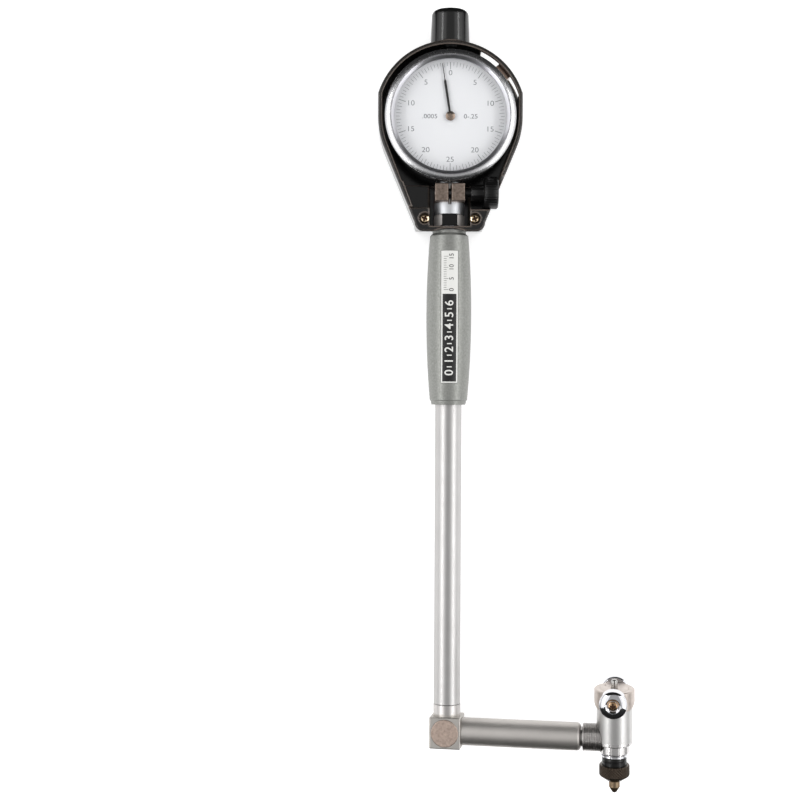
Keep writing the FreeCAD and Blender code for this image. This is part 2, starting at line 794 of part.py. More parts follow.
def grip_profile(inset, bore):
    return [
        (bore, "0 - grip_top"),
        (f"lip_radius - ({inset})", "0 - grip_top"),
        (f"lip_radius - ({inset})", "0 - grip_top - lip_length"),
        (f"shoulder_radius - ({inset})", "0 - shoulder_end", "right", f"barrel_bow - ({inset})"),
        (f"barrel_end_radius - ({inset})", "0 - barrel_end"),
        (f"barrel_end_radius - grip_groove - ({inset})", "0 - barrel_end - groove_start"),
        (f"barrel_end_radius - grip_groove - ({inset})", "0 - barrel_end - groove_end"),
        (f"grip_end_radius - ({inset})", "0 - grip_end"),
        (bore, "0 - grip_end"),
    ]


def grip_and_label():
    barrel = turned("grip_barrel", grip_profile("0", "stem_radius + seat_gap"))
    core = turned("grip_core", grip_profile("label_recess", "stem_radius + seat_gap"))
    sleeve = cylinder("grip_neck_bore", "neck_thread_radius + seat_gap", "neck_end + cut_over - grip_top",
                      Vector(0, -1, 0), ("0", "cut_over - grip_top", "0"))
    band = cut("grip_band", barrel, core)
    window = box("label_window", ("0 - label_half", "0 - label_end", "0"),
                 ("label_half", "0 - label_top", "guard_radius"))
    recess = common("label_recess_solid", band, window)
    blank = turned("label_sheet", [
        ("barrel_end_radius - label_depth", "0 - barrel_end"),
        ("barrel_end_radius - label_depth", "0 - shoulder_end"),
        ("shoulder_radius - label_recess + label_thickness", "0 - shoulder_end", "right",
         "barrel_bow - label_recess + label_thickness"),
        ("barrel_end_radius - label_recess + label_thickness", "0 - barrel_end"),
    ])
    seat = turned("label_seat", grip_profile("label_recess - label_glue", "stem_radius + seat_gap"))
    sheet_band = cut("label_band", blank, seat)
    small = box("label_trim", ("label_margin - label_half", "label_margin - label_end", "0"),
                ("label_half - label_margin", "0 - label_top - label_margin", "guard_radius"))
    return cut("grip_body", barrel, recess, sleeve), common("grip_label_body", sheet_band, small)


def stem_tube():
    return turned("stem_tube_turned", [
        ("stem_bore", "0 - neck_end - free_gap"),
        ("stem_radius", "0 - neck_end - free_gap"),
        ("stem_radius", "0 - stem_end"),
        ("stem_spigot", "0 - stem_end"),
        ("stem_spigot", "0 - block_top - spigot_depth"),
        ("stem_bore - stem_land", "0 - block_top - spigot_depth"),
        ("stem_bore - stem_land", "stem_land_length - stem_end"),
        ("stem_bore", "stem_land_length - stem_end"),
    ])


def bush(name, outer, inner, start, axis):
    return turned(name, [
        (inner, start),
        (outer, start),
        (outer, f"{start} + bush_length"),
        (inner, f"{start} + bush_length"),
    ], axis)


def corner_block():
    cube = box("block_cube", ("0 - block_side / 2",) * 3, ("block_side / 2",) * 3)
    soft = rounded("block_soft", cube, "block_edge", lambda e: True)
    collar = cylinder("block_collar", "block_neck_radius", "block_neck_length",
                      Vector(0, 1, 0))
    whole = fuse("block_whole", soft, collar)
    tools = [
        cylinder("block_lever_bore", "lever_bore", "block_side", start=("0", "0", "0 - lever_floor")),
        cylinder("block_cover_seat", "block_cover_radius + seat_gap", "block_side",
                 start=("0", "0", "cover_seat_level")),
        cylinder("block_stem_bore", "stem_spigot + seat_gap", "block_side", Vector(0, 1, 0),
                 ("0", "block_side / 2 - spigot_depth - seat_gap", "0")),
        cylinder("block_rod_bore", "stem_rod_radius + free_gap", "block_side", Vector(0, 1, 0)),
        cylinder("block_arm_bore", "arm_rod_radius + free_gap", "block_side", Vector(1, 0, 0)),
        cylinder("block_arm_seat", "arm_bore + seat_gap", "block_side", Vector(1, 0, 0),
                 ("block_side / 2 - arm_spigot", "0", "0")),
        box("block_lever_slot", ("0 - lever_tip - free_gap", "0 - lever_tip - free_gap",
                                 "0 - lever_half - free_gap"),
            ("block_side", "lever_arm + lever_hub + free_gap", "lever_half + free_gap")),
        cylinder("block_pin_hole", "lever_pin + seat_gap / 2", "block_side",
                 start=("lever_arm", "lever_arm", "0 - lever_pin_length / 2 - seat_gap")),
    ]
    return cut("corner_block_body", whole, *tools)


def block_cover():
    return turned("cover_turned", [
        ("0", "cover_seat_level + seat_gap"),
        ("block_cover_radius", "cover_seat_level + seat_gap"),
        ("block_cover_radius", "cover_seat_level + block_cover_thickness - seat_gap * 10"),
        ("block_cover_radius - seat_gap * 10", "cover_seat_level + block_cover_thickness"),
        ("0", "cover_seat_level + block_cover_thickness"),
    ], "Z")


def lever(name):
    hub = cylinder(name + "_hub", "lever_hub", "lever_half * 2",
                   start=("lever_arm", "lever_arm", "0 - lever_half"))
    down = box(name + "_down", ("lever_arm - lever_web", "0", "0 - lever_half"),
               ("lever_arm + lever_web", "lever_arm", "lever_half"))
    tip_down = cylinder(name + "_tip_down", "lever_tip", "lever_half * 2",
                        start=("lever_arm", "0", "0 - lever_half"))
    side = box(name + "_side", ("0", "lever_arm - lever_web", "0 - lever_half"),
               ("lever_arm", "lever_arm + lever_web", "lever_half"))
    tip_side = cylinder(name + "_tip_side", "lever_tip", "lever_half * 2",
                        start=("0", "lever_arm", "0 - lever_half"))
    hole = cylinder(name + "_hole", "lever_pin + running_gap", "lever_half * 4",
                    start=("lever_arm", "lever_arm", "0 - lever_half * 2"))
    whole = fuse(name + "_whole", hub, down, tip_down, side, tip_side)
    return cut(name + "_body", whole, hole)


def lever_pin(name):
    return cylinder(name + "_turned", "lever_pin", "lever_pin_length",
                    start=("lever_arm", "lever_arm", "0 - lever_pin_length / 2"))


def arm_tube():
    return turned("arm_tube_turned", [
        ("rod_bush_radius", "block_side / 2 - arm_spigot + seat_gap"),
        ("arm_bore", "block_side / 2 - arm_spigot + seat_gap"),
        ("arm_bore", "block_side / 2 + seat_gap"),
        ("arm_radius", "block_side / 2 + seat_gap"),
        ("arm_radius", "arm_end - arm_round", "left", "arm_round * 1.02"),
        ("arm_radius - arm_round * 0.9", "arm_end"),
        ("arm_bore + arm_socket", "arm_end"),
        ("arm_bore + arm_socket", "collar_start - collar_spigot"),
        ("rod_bush_radius", "collar_start - collar_spigot"),
    ], "X")


def head_collar():
    return turned("head_collar_turned", [
        ("rod_bush_radius", "collar_start - collar_spigot + seat_gap"),
        ("arm_bore + arm_socket - seat_gap", "collar_start - collar_spigot + seat_gap"),
        ("arm_bore + arm_socket - seat_gap", "collar_start"),
        ("collar_radius - collar_chamfer", "collar_start"),
        ("collar_radius", "collar_start + collar_chamfer"),
        ("collar_radius", "head_reach - head_step_radius + collar_seat"),
        ("rod_bush_radius", "head_reach - head_step_radius + collar_seat"),
    ], "X")


def head_body():
    outer = turned("head_turned", [
        ("0", "0 - head_step_end"),
        ("head_step_radius - head_chamfer", "0 - head_step_end"),
        ("head_step_radius", "head_chamfer - head_step_end"),
        ("head_step_radius", "0 - head_bottom"),
        ("head_radius - head_break", "0 - head_bottom"),
        ("head_radius", "head_break - head_bottom"),
        ("head_radius", "head_top"),
        ("0", "head_top"),
    ])
    tools = [
        cylinder("head_plunger_bore", "plunger_radius + running_gap", "head_top * 2", Vector(0, 1, 0)),
        cylinder("head_anvil_bore", "anvil_radius + seat_gap", "anvil_top", Vector(0, 1, 0),
                 ("0", "0 - anvil_top", "0")),
        box("head_lever_slot", ("0 - lever_arm * 2 - head_slot_back", "0 - head_slot_drop",
                                "0 - head_slot / 2"),
            ("lever_tip + edge_break", "lever_arm + head_slot_room", "head_slot / 2")),
        cylinder("head_rod_bore", "rod_bush_radius + seat_gap", "head_radius", Vector(-1, 0, 0),
                 ("0 - lever_arm - head_rod_start", "0", "0")),
        cylinder("head_collar_bore", "collar_radius + seat_gap", "head_radius + cut_over * 2",
                 Vector(-1, 0, 0),
                 ("seat_gap - head_step_radius + collar_seat", "0", "0")),
        cylinder("head_pin_hole", "lever_pin + seat_gap / 2", "lever_pin_length + seat_gap * 2",
                 start=("0 - lever_arm", "lever_arm", "0 - lever_pin_length / 2 - seat_gap")),
    ]
    return cut("head_body_body", outer, *tools)


def plunger():
    return turned("plunger_turned", [
        ("0", "lever_arm + lever_tip + seat_gap"),
        ("rod_nose_radius", "lever_arm + lever_tip + seat_gap"),
        ("plunger_foot_radius", "lever_arm + lever_tip + seat_gap + rod_nose_length"),
        ("plunger_foot_radius", "plunger_foot_top"),
        ("plunger_radius", "plunger_foot_top"),
        ("plunger_radius", "plunger_top"),
        ("contact_radius", "plunger_top"),
        ("contact_radius", "contact_top - contact_round", "left", "contact_round"),
        ("contact_radius - contact_round", "contact_top"),
        ("0", "contact_top"),
    ])


def bridge():
    blank = turned("bridge_blank", [
        ("0", "bridge_bottom"),
        ("bridge_radius", "bridge_bottom"),
        ("bridge_radius", "bridge_top - bridge_edge"),
        ("bridge_radius - bridge_edge", "bridge_top"),
        ("0", "bridge_top"),
    ])
    side_view = flat("bridge_side_view", [[
        ("0 - bridge_radius", "bridge_top + cut_over"),
        ("0 - bridge_radius", "bridge_bottom + bridge_lower_round", "left", "bridge_lower_round"),
        ("bridge_lower_round - bridge_radius", "bridge_bottom"),
        ("bridge_radius - bridge_lower_round", "bridge_bottom", "left", "bridge_lower_round"),
        ("bridge_radius", "bridge_bottom + bridge_lower_round"),
        ("bridge_radius", "bridge_top + cut_over"),
    ]], "0 - bridge_radius - cut_over", "bridge_radius + cut_over")
    shaped = common("bridge_shaped", blank, side_view)
    hollow = cylinder("bridge_bore", "head_radius + running_gap * 2",
                      "bridge_ceiling - bridge_bottom + cut_over",
                      Vector(0, 1, 0), ("0", "bridge_bottom - cut_over", "0"))
    contact_hole = cylinder("bridge_contact_hole", "contact_radius + free_gap / 2", "bridge_top",
                            Vector(0, 1, 0), ("0", "bridge_ceiling - cut_over", "0"))
    ring = turned("bridge_ring", [
        ("bridge_ring_radius", "bridge_top - bridge_ring_depth"),
        ("bridge_ring_radius + bridge_ring_width", "bridge_top + cut_over"),
        ("bridge_ring_radius", "bridge_top + cut_over"),
    ])
    pin_hole = cylinder("bridge_pin_hole", "bridge_pin_radius", "bridge_pin_depth + cut_over",
                        Vector(0, 1, 0), ("0 - bridge_pin_x", "bridge_top - bridge_pin_depth",
                                          "0 - bridge_pin_z"))
    axle_bores = [cylinder(f"bridge_axle_bore_{side}", "axle_radius + seat_gap", "roller_place",
                           Vector(0, 0, sign), ("0", "roller_height", f"{sign} * head_radius"))
                  for side, sign in (("front", 1), ("back", -1))]
    hubs = [turned(f"bridge_hub_{side}", [
        ("0", "bridge_radius - bridge_hub_root"),
        ("bridge_hub_radius", "bridge_radius - bridge_hub_root"),
        ("bridge_hub_radius", "roller_place - bridge_hub_gap"),
        ("0", "roller_place - bridge_hub_gap"),
    ], "Z") for side in ("front", "back")]
    hubs[1].Placement = Placement(Vector(), Rotation(Vector(0, 1, 0), 180))
    for hub in hubs:
        move(hub, y="roller_height")
    return cut("bridge_body", fuse("bridge_outer", shaped, *hubs), hollow, contact_hole, ring, pin_hole,
               *axle_bores)


def roller(name):
    return turned(name + "_turned", [
        ("axle_radius + running_gap", "roller_place"),
        ("roller_radius - roller_break", "roller_place"),
        ("roller_radius", "roller_place + roller_break"),
        ("roller_radius", "roller_end - roller_dome - roller_shoulder", "left",
         "roller_dome + roller_land"),
        ("roller_recess + roller_land", "roller_end"),
        ("roller_recess", "roller_end"),
        ("axle_head_radius + roller_land", "roller_end - roller_recess_depth"),
        ("axle_radius + running_gap", "roller_end - roller_recess_depth"),
    ], "Z")


def axle_screw(name):
    head = "roller_end - roller_recess_depth + running_gap"
    return turned(name + "_turned", [
        ("0", "head_radius + axle_gap"),
        ("axle_radius", "head_radius + axle_gap"),
        ("axle_radius", head),
        ("axle_head_radius", head),
        ("axle_head_radius", head + " + axle_head_height - axle_head_break"),
        ("axle_head_radius - axle_head_break", head + " + axle_head_height"),
        ("0", head + " + axle_head_height"),
    ], "Z")


def on_bridge(item, back):
    turn = Rotation(Vector(0, 1, 0), 180) if back else Rotation()
    item.Placement = Placement(Vector(), turn)
    return move(item, y="roller_height")


def anvil_seat():
    return turned("anvil_seat_turned", [
        ("anvil_radius + seat_gap", "0 - head_step_end - seat_gap"),
        ("anvil_radius + seat_gap", "0 - seat_end"),
        ("seat_radius", "0 - seat_end"),
        ("seat_radius", "0 - ring_end"),
        ("ring_radius", "0 - ring_end"),
        ("ring_radius", "edge_break - ring_end"),
        ("ring_radius - edge_break", "0 - head_step_end - seat_gap"),
    ])


def anvil_nut():
    return turned("anvil_nut_turned", [
        ("anvil_radius + running_gap", "0 - seat_end - seat_gap"),
        ("anvil_radius + running_gap", "0 - nut_cone_end"),
        ("nut_cone_radius", "0 - nut_cone_end"),
        ("nut_knurl_radius - edge_break", "0 - nut_knurl_end"),
        ("nut_knurl_radius", "edge_break - nut_knurl_end"),
        ("nut_knurl_radius", "0 - nut_knurl_start - edge_break"),
        ("nut_knurl_radius - edge_break", "0 - nut_knurl_start"),
        ("seat_radius + running_gap", "0 - nut_knurl_start"),
        ("seat_radius + running_gap", "0 - seat_end - seat_gap"),
    ])


def anvil_rod():
    return turned("anvil_turned", [
        ("0", "0 - anvil_top + seat_gap"),
        ("anvil_radius", "0 - anvil_top + seat_gap"),
        ("anvil_radius", "0 - anvil_straight"),
        ("anvil_point_radius", "0 - anvil_end + anvil_bevel", "right", "anvil_point_radius * 1.3"),
        ("0", "0 - anvil_end"),
    ])


# Dial indicator: case with its back cover, stem and spindle, the rack movement, the turning bezel
# with face and crystal, and the clamp that holds the bezel.


def dial_case():
    cup = turned("case_cup", [
        ("arbor_radius + running_gap + arbor_room", "case_front - case_plate"),
        ("case_radius - case_wall", "case_front - case_plate"),
        ("case_radius - case_wall", "case_back"),
        ("case_radius", "case_back"),
        ("case_radius", "case_front"),
        ("arbor_radius + running_gap + arbor_room", "case_front"),
    ], "Z")
    boss = cylinder("case_boss", "boss_radius", "boss_length + case_wall / 2", Vector(0, -1, 0),
                    ("0", "case_wall / 2 - case_radius", "stem_height"))
    lug = box("case_clamp_seat", ("case_radius - cut_over", "0 - bezel_clamp_width / 2",
                                  "bezel_clamp_back"),
              ("case_radius + clamp_lug", "bezel_clamp_width / 2", "bezel_clamp_front - free_gap"))
    lug.Placement = Placement(Vector(), Rotation(Vector(0, 0, 1),
                                                 value("bezel_clamp_angle"))).multiply(lug.Placement)
    lug.setExpression("Placement.Base.x", None)
    lug.setExpression("Placement.Base.y", None)
    stem_hole = cylinder("case_stem_hole", "dial_stem_radius + seat_gap", "case_radius", Vector(0, -1, 0),
                         ("0", "stem_socket - seat_gap - case_radius", "stem_height"))
    cap_hole = cylinder("case_cap_hole", "spindle_radius + running_gap", "case_radius", Vector(0, 1, 0),
                        ("0", "case_radius - stem_socket", "stem_height"))
    hollow = cylinder("case_hollow", "case_radius - case_wall", "case_front - case_plate - case_back",
                      start=("0", "0", "case_back"))
    return cut("dial_case_body", fuse("case_outer", cup, boss, lug), hollow, stem_hole, cap_hole)


def cover_places():
    return [("cover_screw_circle * cos(%d)" % angle, "cover_screw_circle * sin(%d)" % angle)
            for angle in (45, 135, 225, 315)]


def case_cover():
    screw_holes = [(x, y, "cover_screw_radius * cover_screw_share") for x, y in cover_places()]
    return flat("case_cover_plate", [], "case_back - case_cover", "case_back - seat_gap",
                [("0", "0", "case_radius - case_lip")] + screw_holes)


def cover_screws():
    screws = []
    for i, (x, y) in enumerate(cover_places()):
        screws.append(cylinder(f"cover_screw_head_{i}", "cover_screw_radius", "cover_screw_height",
                               start=(x, y, "case_back - case_cover - cover_screw_height")))
        screws.append(cylinder(f"cover_screw_shank_{i}", "cover_screw_radius * cover_screw_share - seat_gap",
                               "case_cover + cover_screw_height",
                               start=(x, y, "case_back - case_cover - cover_screw_height / 2")))
    return fuse("cover_screws_body", *screws)


def dial_stem():
    return turned("dial_stem_turned", [
        ("spindle_radius + running_gap", "stem_socket - case_radius"),
        ("dial_stem_radius", "stem_socket - case_radius"),
        ("dial_stem_radius", "edge_break - dial_stem_end"),
        ("dial_stem_radius - edge_break", "0 - dial_stem_end"),
        ("spindle_radius + running_gap", "0 - dial_stem_end"),
    ])


def spindle_cap():
    return turned("spindle_cap_turned", [
        ("spindle_radius + running_gap", "case_radius + seat_gap"),
        ("cap_radius", "case_radius + seat_gap"),
        ("cap_radius", "case_radius + cap_length - cap_bevel"),
        ("cap_radius - cap_bevel", "case_radius + cap_length"),
        ("0", "case_radius + cap_length"),
        ("0", "case_radius + cap_length - cap_wall"),
        ("spindle_radius + running_gap", "case_radius + cap_length - cap_wall"),
    ])


def spindle():
    bar = turned("spindle_bar", [
        ("0", "0 - spindle_end"),
        ("spindle_radius / 2", "0 - spindle_end"),
        ("spindle_radius", "spindle_radius / 2 - spindle_end"),
        ("spindle_radius", "spindle_top"),
        ("0", "spindle_top"),
    ])
    rack_face = box("rack_face", ("0 - spindle_radius - cut_over", "0 - rack_start", "0 - spindle_radius"),
                    ("0 - rack_line", "rack_end", "spindle_radius"))
    return cut("spindle_body", bar, rack_face)


def wheel(name, with_pinion):
    parts = [
        cylinder(name + "_disc", "wheel_radius - running_gap", "wheel_thickness",
                 start=("0", "0", "wheel_height")),
        cylinder(name + "_arbor", "arbor_radius",
                 "case_front - case_plate - running_gap - plate_height + arbor_tail",
                 start=("0", "0", "plate_height - arbor_tail")),
    ]
    if with_pinion:
        parts.append(cylinder(name + "_pinion", "rack_radius - running_gap", "wheel_height - plate_height",
                              start=("0", "0", "plate_height")))
    return fuse(name + "_body", *parts)


def movement_plate():
    places = [("0", "0"), ("0 - pinion_x", "pinion_y"), ("pinion_y", "0 - pinion_x")]
    holes = [(x, y, "arbor_radius + running_gap") for x, y in places]
    return flat("movement_plate_body", [], "plate_height - plate_thickness", "plate_height - running_gap",
                [("0", "0", "plate_radius")] + holes)


def centre_arbor():
    return turned("centre_arbor_turned", [
        ("0", "plate_height - arbor_tail"),
        ("arbor_radius", "plate_height - arbor_tail"),
        ("arbor_radius", "plate_height + running_gap"),
        ("centre_pinion - running_gap", "plate_height + running_gap"),
        ("centre_pinion - running_gap", "wheel_height + wheel_thickness + arbor_tail"),
        ("arbor_radius", "wheel_height + wheel_thickness + arbor_tail"),
        ("arbor_radius", "pointer_height + pointer_thickness"),
        ("0", "pointer_height + pointer_thickness"),
    ], "Z")


def pointer():
    blade = flat("pointer_blade", [[
        ("0 - blade_root_half", "0 - pointer_tail"),
        ("blade_root_half", "0 - pointer_tail"),
        ("blade_half", "blade_length - blade_point"),
        ("needle_half", "blade_length"),
        ("needle_half", "pointer_length - blade_point"),
        ("0", "pointer_length"),
        ("0 - needle_half", "pointer_length - blade_point"),
        ("0 - needle_half", "blade_length"),
        ("0 - blade_half", "blade_length - blade_point"),
    ]], "pointer_height", "pointer_height + pointer_thickness")
    hub = turned("pointer_hub", [
        ("0", "pointer_height - hub_back"),
        ("hub_radius", "pointer_height - hub_back"),
        ("hub_radius", "pointer_height + pointer_thickness + hub_rim"),
        ("hub_radius / 2", "pointer_height + pointer_thickness + hub_height"),
        ("0", "pointer_height + pointer_thickness + hub_height"),
    ], "Z")
    hole = cylinder("pointer_hole", "arbor_radius + seat_gap / 2", "pointer_thickness + hub_back",
                    start=("0", "0", "pointer_height - hub_back"))
    return cut("pointer_body", fuse("pointer_whole", blade, hub), hole)


def bezel():
    return turned("bezel_turned", [
        ("case_radius + bezel_gap", "bezel_back"),
        ("bezel_radius - edge_break", "bezel_back"),
        ("bezel_radius", "bezel_back + edge_break"),
        ("bezel_radius", "bezel_front - bezel_round", "left", "bezel_round * 1.1"),
        ("bezel_radius - bezel_round", "bezel_front"),
        ("bezel_land", "bezel_front"),
        ("bezel_land - bezel_groove / 2", "bezel_front - bezel_groove"),
        ("bezel_land - bezel_groove", "bezel_front - 0.1"),
        ("bezel_window", "crystal_front + 0.7"),
        ("bezel_window", "crystal_front + seat_gap"),
        ("bezel_bore", "crystal_front + seat_gap"),
        ("bezel_bore", "case_front + running_gap"),
        ("case_radius + bezel_gap", "case_front + running_gap"),
    ], "Z")


def dial_face():
    return flat("dial_face_disc", [], "face_back", "face_front",
                [("0", "0", "face_radius"), ("0", "0", "arbor_radius + arbor_room")])


def bezel_clamp():
    clamp = cut("bezel_clamp_block", box(
        "bezel_clamp_box", ("case_radius + clamp_lug + seat_gap", "0 - bezel_clamp_width / 2",
                            "bezel_clamp_back"),
        ("bezel_clamp_reach", "bezel_clamp_width / 2", "bezel_clamp_front")),
        cylinder("bezel_clamp_bore", "bezel_screw_radius + seat_gap", "guard_radius", Vector(1, 0, 0),
                 ("0", "0", "bezel_clamp_middle")))
    return clamp


def bezel_clamp_screw():
    screw = turned("bezel_screw_turned", [
        ("0", "case_radius + clamp_lug + seat_gap * 2"),
        ("bezel_screw_radius", "case_radius + clamp_lug + seat_gap * 2"),
        ("bezel_screw_radius", "bezel_clamp_reach + seat_gap"),
        ("bezel_screw_head", "bezel_clamp_reach + seat_gap"),
        ("bezel_screw_head", "bezel_clamp_reach + bezel_screw_height - edge_break"),
        ("bezel_screw_head - edge_break", "bezel_clamp_reach + bezel_screw_height"),
        ("0", "bezel_clamp_reach + bezel_screw_height"),
    ], "X")
    return move(screw, z="bezel_clamp_middle")


# Every piece, in its place.

bezel_frame = Placement(Vector(), Rotation(Vector(0, 0, 1), value("bezel_clamp_angle")))
pointer_frame = Placement(Vector(), Rotation(Vector(0, 0, 1), value("pointer_angle")))
first_wheel_frame = Placement(Vector(-value("pinion_x"), value("pinion_y"), 0), Rotation())
second_wheel_frame = Placement(Vector(value("pinion_y"), -value("pinion_x"), 0), Rotation())

node("guard_shell", guard_shell())
node("guard_clamp", guard_clamp())
node("guard_screws", guard_screws())
node("dial_case", dial_case())
node("case_cover", case_cover())
node("cover_screws", cover_screws())
node("dial_stem", dial_stem(), stem_frame)
node("spindle_cap", spindle_cap(), stem_frame)
node("spindle", spindle(), stem_frame)
node("movement_plate", movement_plate())
node("rack_wheel", wheel("rack_wheel", True), first_wheel_frame)
node("takeup_wheel", wheel("takeup_wheel", False), second_wheel_frame)
node("centre_arbor", centre_arbor())
node("pointer", pointer(), pointer_frame)
node("bezel", bezel())
node("dial_face", dial_face())
node("crystal", cylinder("crystal_disc", "crystal_radius", "crystal_thickness", start=("0", "0",
                                                                                       "crystal_back")))
node("bezel_clamp", bezel_clamp(), bezel_frame)
node("bezel_clamp_screw", bezel_clamp_screw(), bezel_frame)
node("clamp_neck", neck(), stem_frame)
node("clamp_screw", clamp_screw())
node("lock_nut", lock_nut(), stem_frame)
node("neck_washer", neck_washer(), stem_frame)
grip, grip_label = grip_and_label()
node("grip", grip, stem_frame)
node("grip_label", grip_label, stem_frame)
node("stem_tube", stem_tube(), stem_frame)
node("stem_rod", turned("stem_rod_turned", [
    ("0", "lever_arm + lever_tip + seat_gap - block_drop"),
    ("stem_rod_radius", "lever_arm + lever_tip + seat_gap - block_drop"),
    ("stem_rod_radius", "0 - spindle_end - seat_gap"),
    ("0", "0 - spindle_end - seat_gap"),
]), stem_frame)
node("upper_bush", bush("upper_bush_turned", "stem_bore - seat_gap", "stem_rod_radius + running_gap",
                        "0 - neck_end - free_gap - bush_length - bush_inset", "Y"), stem_frame)
node("lower_bush", bush("lower_bush_turned", "stem_bore - stem_land - seat_gap",
                        "stem_rod_radius + running_gap",
                        "bush_inset - stem_end - bush_length", "Y"), stem_frame)
node("corner_block", corner_block(), block_frame)
node("block_cover", block_cover(), block_frame)
node("elbow_lever", lever("elbow_lever"), block_frame)
node("elbow_pin", lever_pin("elbow_pin"), block_frame)
node("arm_tube", arm_tube(), block_frame)
node("head_collar", head_collar(), block_frame)
node("arm_rod", turned("arm_rod_turned", [
    ("0", "lever_arm + lever_tip + seat_gap"),
    ("rod_nose_radius", "lever_arm + lever_tip + seat_gap"),
    ("arm_rod_radius", "lever_arm + lever_tip + seat_gap + rod_nose_length"),
    ("arm_rod_radius", "head_reach - lever_arm - lever_tip - seat_gap"),
    ("0", "head_reach - lever_arm - lever_tip - seat_gap"),
], "X"), block_frame)
node("inner_bush", bush("inner_bush_turned", "rod_bush_radius - seat_gap",
                        "arm_rod_radius + running_gap", "block_side / 2 + cut_over", "X"), block_frame)
node("outer_bush", bush("outer_bush_turned", "rod_bush_radius - seat_gap",
                        "arm_rod_radius + running_gap", "collar_start - bush_length", "X"), block_frame)
node("head_body", head_body(), head_frame)
head_lever_item = lever("head_lever")
mirrored = Placement(Vector(), Rotation(Vector(0, 1, 0), 180))
node("head_lever", head_lever_item, head_frame.multiply(mirrored))
node("head_pin", lever_pin("head_pin"), head_frame.multiply(mirrored))
node("contact", plunger(), head_frame)
node("bridge", bridge(), head_frame)
for place, behind in (("front", False), ("back", True)):
    node(f"{place}_roller", on_bridge(roller(f"{place}_roller"), behind), head_frame)
    node(f"{place}_axle_screw", on_bridge(axle_screw(f"{place}_axle"), behind), head_frame)
node("anvil_seat", anvil_seat(), head_frame)
node("anvil_nut", anvil_nut(), head_frame)
node("anvil", anvil_rod(), head_frame)

doc.recompute()
for item in doc.Objects:
    if "Invalid" in item.State or "Error" in item.State:
        raise RuntimeError(f"{item.Name} failed: {item.State}")
for name, item in nodes.items():
    if item.Shape.isNull() or not item.Shape.isValid() or not item.Shape.Solids:
        raise RuntimeError(f"{name} has no valid solid")

os.makedirs("parts", exist_ok=True)
for name, item in nodes.items():
    item.Shape.exportStep(f"parts/{name}.step")
print(len(nodes), "nodes")
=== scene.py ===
import bpy
import bmesh
import json
import math
from mathutils import Matrix, Vector


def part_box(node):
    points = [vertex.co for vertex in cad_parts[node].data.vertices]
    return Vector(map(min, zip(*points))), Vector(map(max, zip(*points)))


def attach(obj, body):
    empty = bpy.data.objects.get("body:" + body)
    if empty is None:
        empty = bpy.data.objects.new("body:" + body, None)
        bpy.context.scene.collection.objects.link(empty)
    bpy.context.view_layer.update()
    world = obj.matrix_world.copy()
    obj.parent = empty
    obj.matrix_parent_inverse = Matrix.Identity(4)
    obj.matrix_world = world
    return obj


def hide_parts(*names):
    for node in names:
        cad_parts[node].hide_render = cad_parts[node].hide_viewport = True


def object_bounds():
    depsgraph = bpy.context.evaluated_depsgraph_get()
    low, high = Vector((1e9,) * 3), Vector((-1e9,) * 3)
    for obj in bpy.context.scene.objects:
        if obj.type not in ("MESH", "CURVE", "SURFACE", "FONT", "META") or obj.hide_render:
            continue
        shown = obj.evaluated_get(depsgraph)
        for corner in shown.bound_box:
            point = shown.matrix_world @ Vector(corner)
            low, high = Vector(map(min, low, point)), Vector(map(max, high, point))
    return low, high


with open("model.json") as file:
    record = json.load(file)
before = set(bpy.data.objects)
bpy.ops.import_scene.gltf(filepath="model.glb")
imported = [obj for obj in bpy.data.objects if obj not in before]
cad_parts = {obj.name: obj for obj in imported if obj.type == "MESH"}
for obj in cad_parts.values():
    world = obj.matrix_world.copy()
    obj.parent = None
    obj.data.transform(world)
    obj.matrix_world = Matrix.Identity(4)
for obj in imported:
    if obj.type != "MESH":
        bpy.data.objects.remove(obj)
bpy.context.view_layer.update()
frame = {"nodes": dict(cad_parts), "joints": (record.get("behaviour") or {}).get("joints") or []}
nodes = frame["nodes"]
joints = {joint["name"]: joint for joint in frame["joints"]}
mm = 0.001
turnX = Matrix.Rotation(math.radians(90), 4, "X")
turnZ = Matrix.Rotation(math.radians(-90), 4, "Z")

# The frame's joints give the stem's, the arm's and the measuring head's own frames.
reach = {"leverArm": 3.6, "nutDrop": 15.0}  # mm
stemAlong = Vector((0, 1, 0))
armAlong = -Vector(joints["arm_rod_slide"]["axis"])
headUp = -Vector(joints["contact_slide"]["axis"])
headOut = Vector(joints["front_roller_spin"]["axis"])
stemHeight = (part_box("stem_rod")[0][2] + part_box("stem_rod")[1][2]) / 2
elbow = Vector(joints["elbow_turn"]["pos_m"])
blockCentre = elbow - (armAlong + stemAlong) * reach["leverArm"] * mm
headCentre = Vector(joints["anvil_nut_turn"]["pos_m"]) + headUp * reach["nutDrop"] * mm


def frameOf(origin, xAxis, yAxis, zAxis):
    turn = Matrix((xAxis, yAxis, zAxis)).transposed().to_4x4()
    return Matrix.Translation(origin) @ turn


stemFrame = Matrix.Translation((0, 0, stemHeight))
blockFrame = frameOf(blockCentre, armAlong, stemAlong, armAlong.cross(stemAlong))
headFrame = frameOf(headCentre, armAlong, headUp, headOut)
print("frame loaded")


# Materials: one function turns an sRGB hex value to linear, and one adds a node.
def paint(hexValue):
    parts = [int(hexValue[i:i + 2], 16) / 255 for i in (1, 3, 5)]
    return tuple(c / 12.92 if c <= 0.04045 else ((c + 0.055) / 1.055) ** 2.4 for c in parts) + (1.0,)


def addNode(tree, kind, settings=None, links=None):
    node = tree.nodes.new(kind)
    for name, value in (settings or {}).items():
        if name in node.inputs:
            node.inputs[name].default_value = value
        else:
            setattr(node, name, value)
    for name, source in (links or {}).items():
        tree.links.new(source, node.inputs[name])
    return node


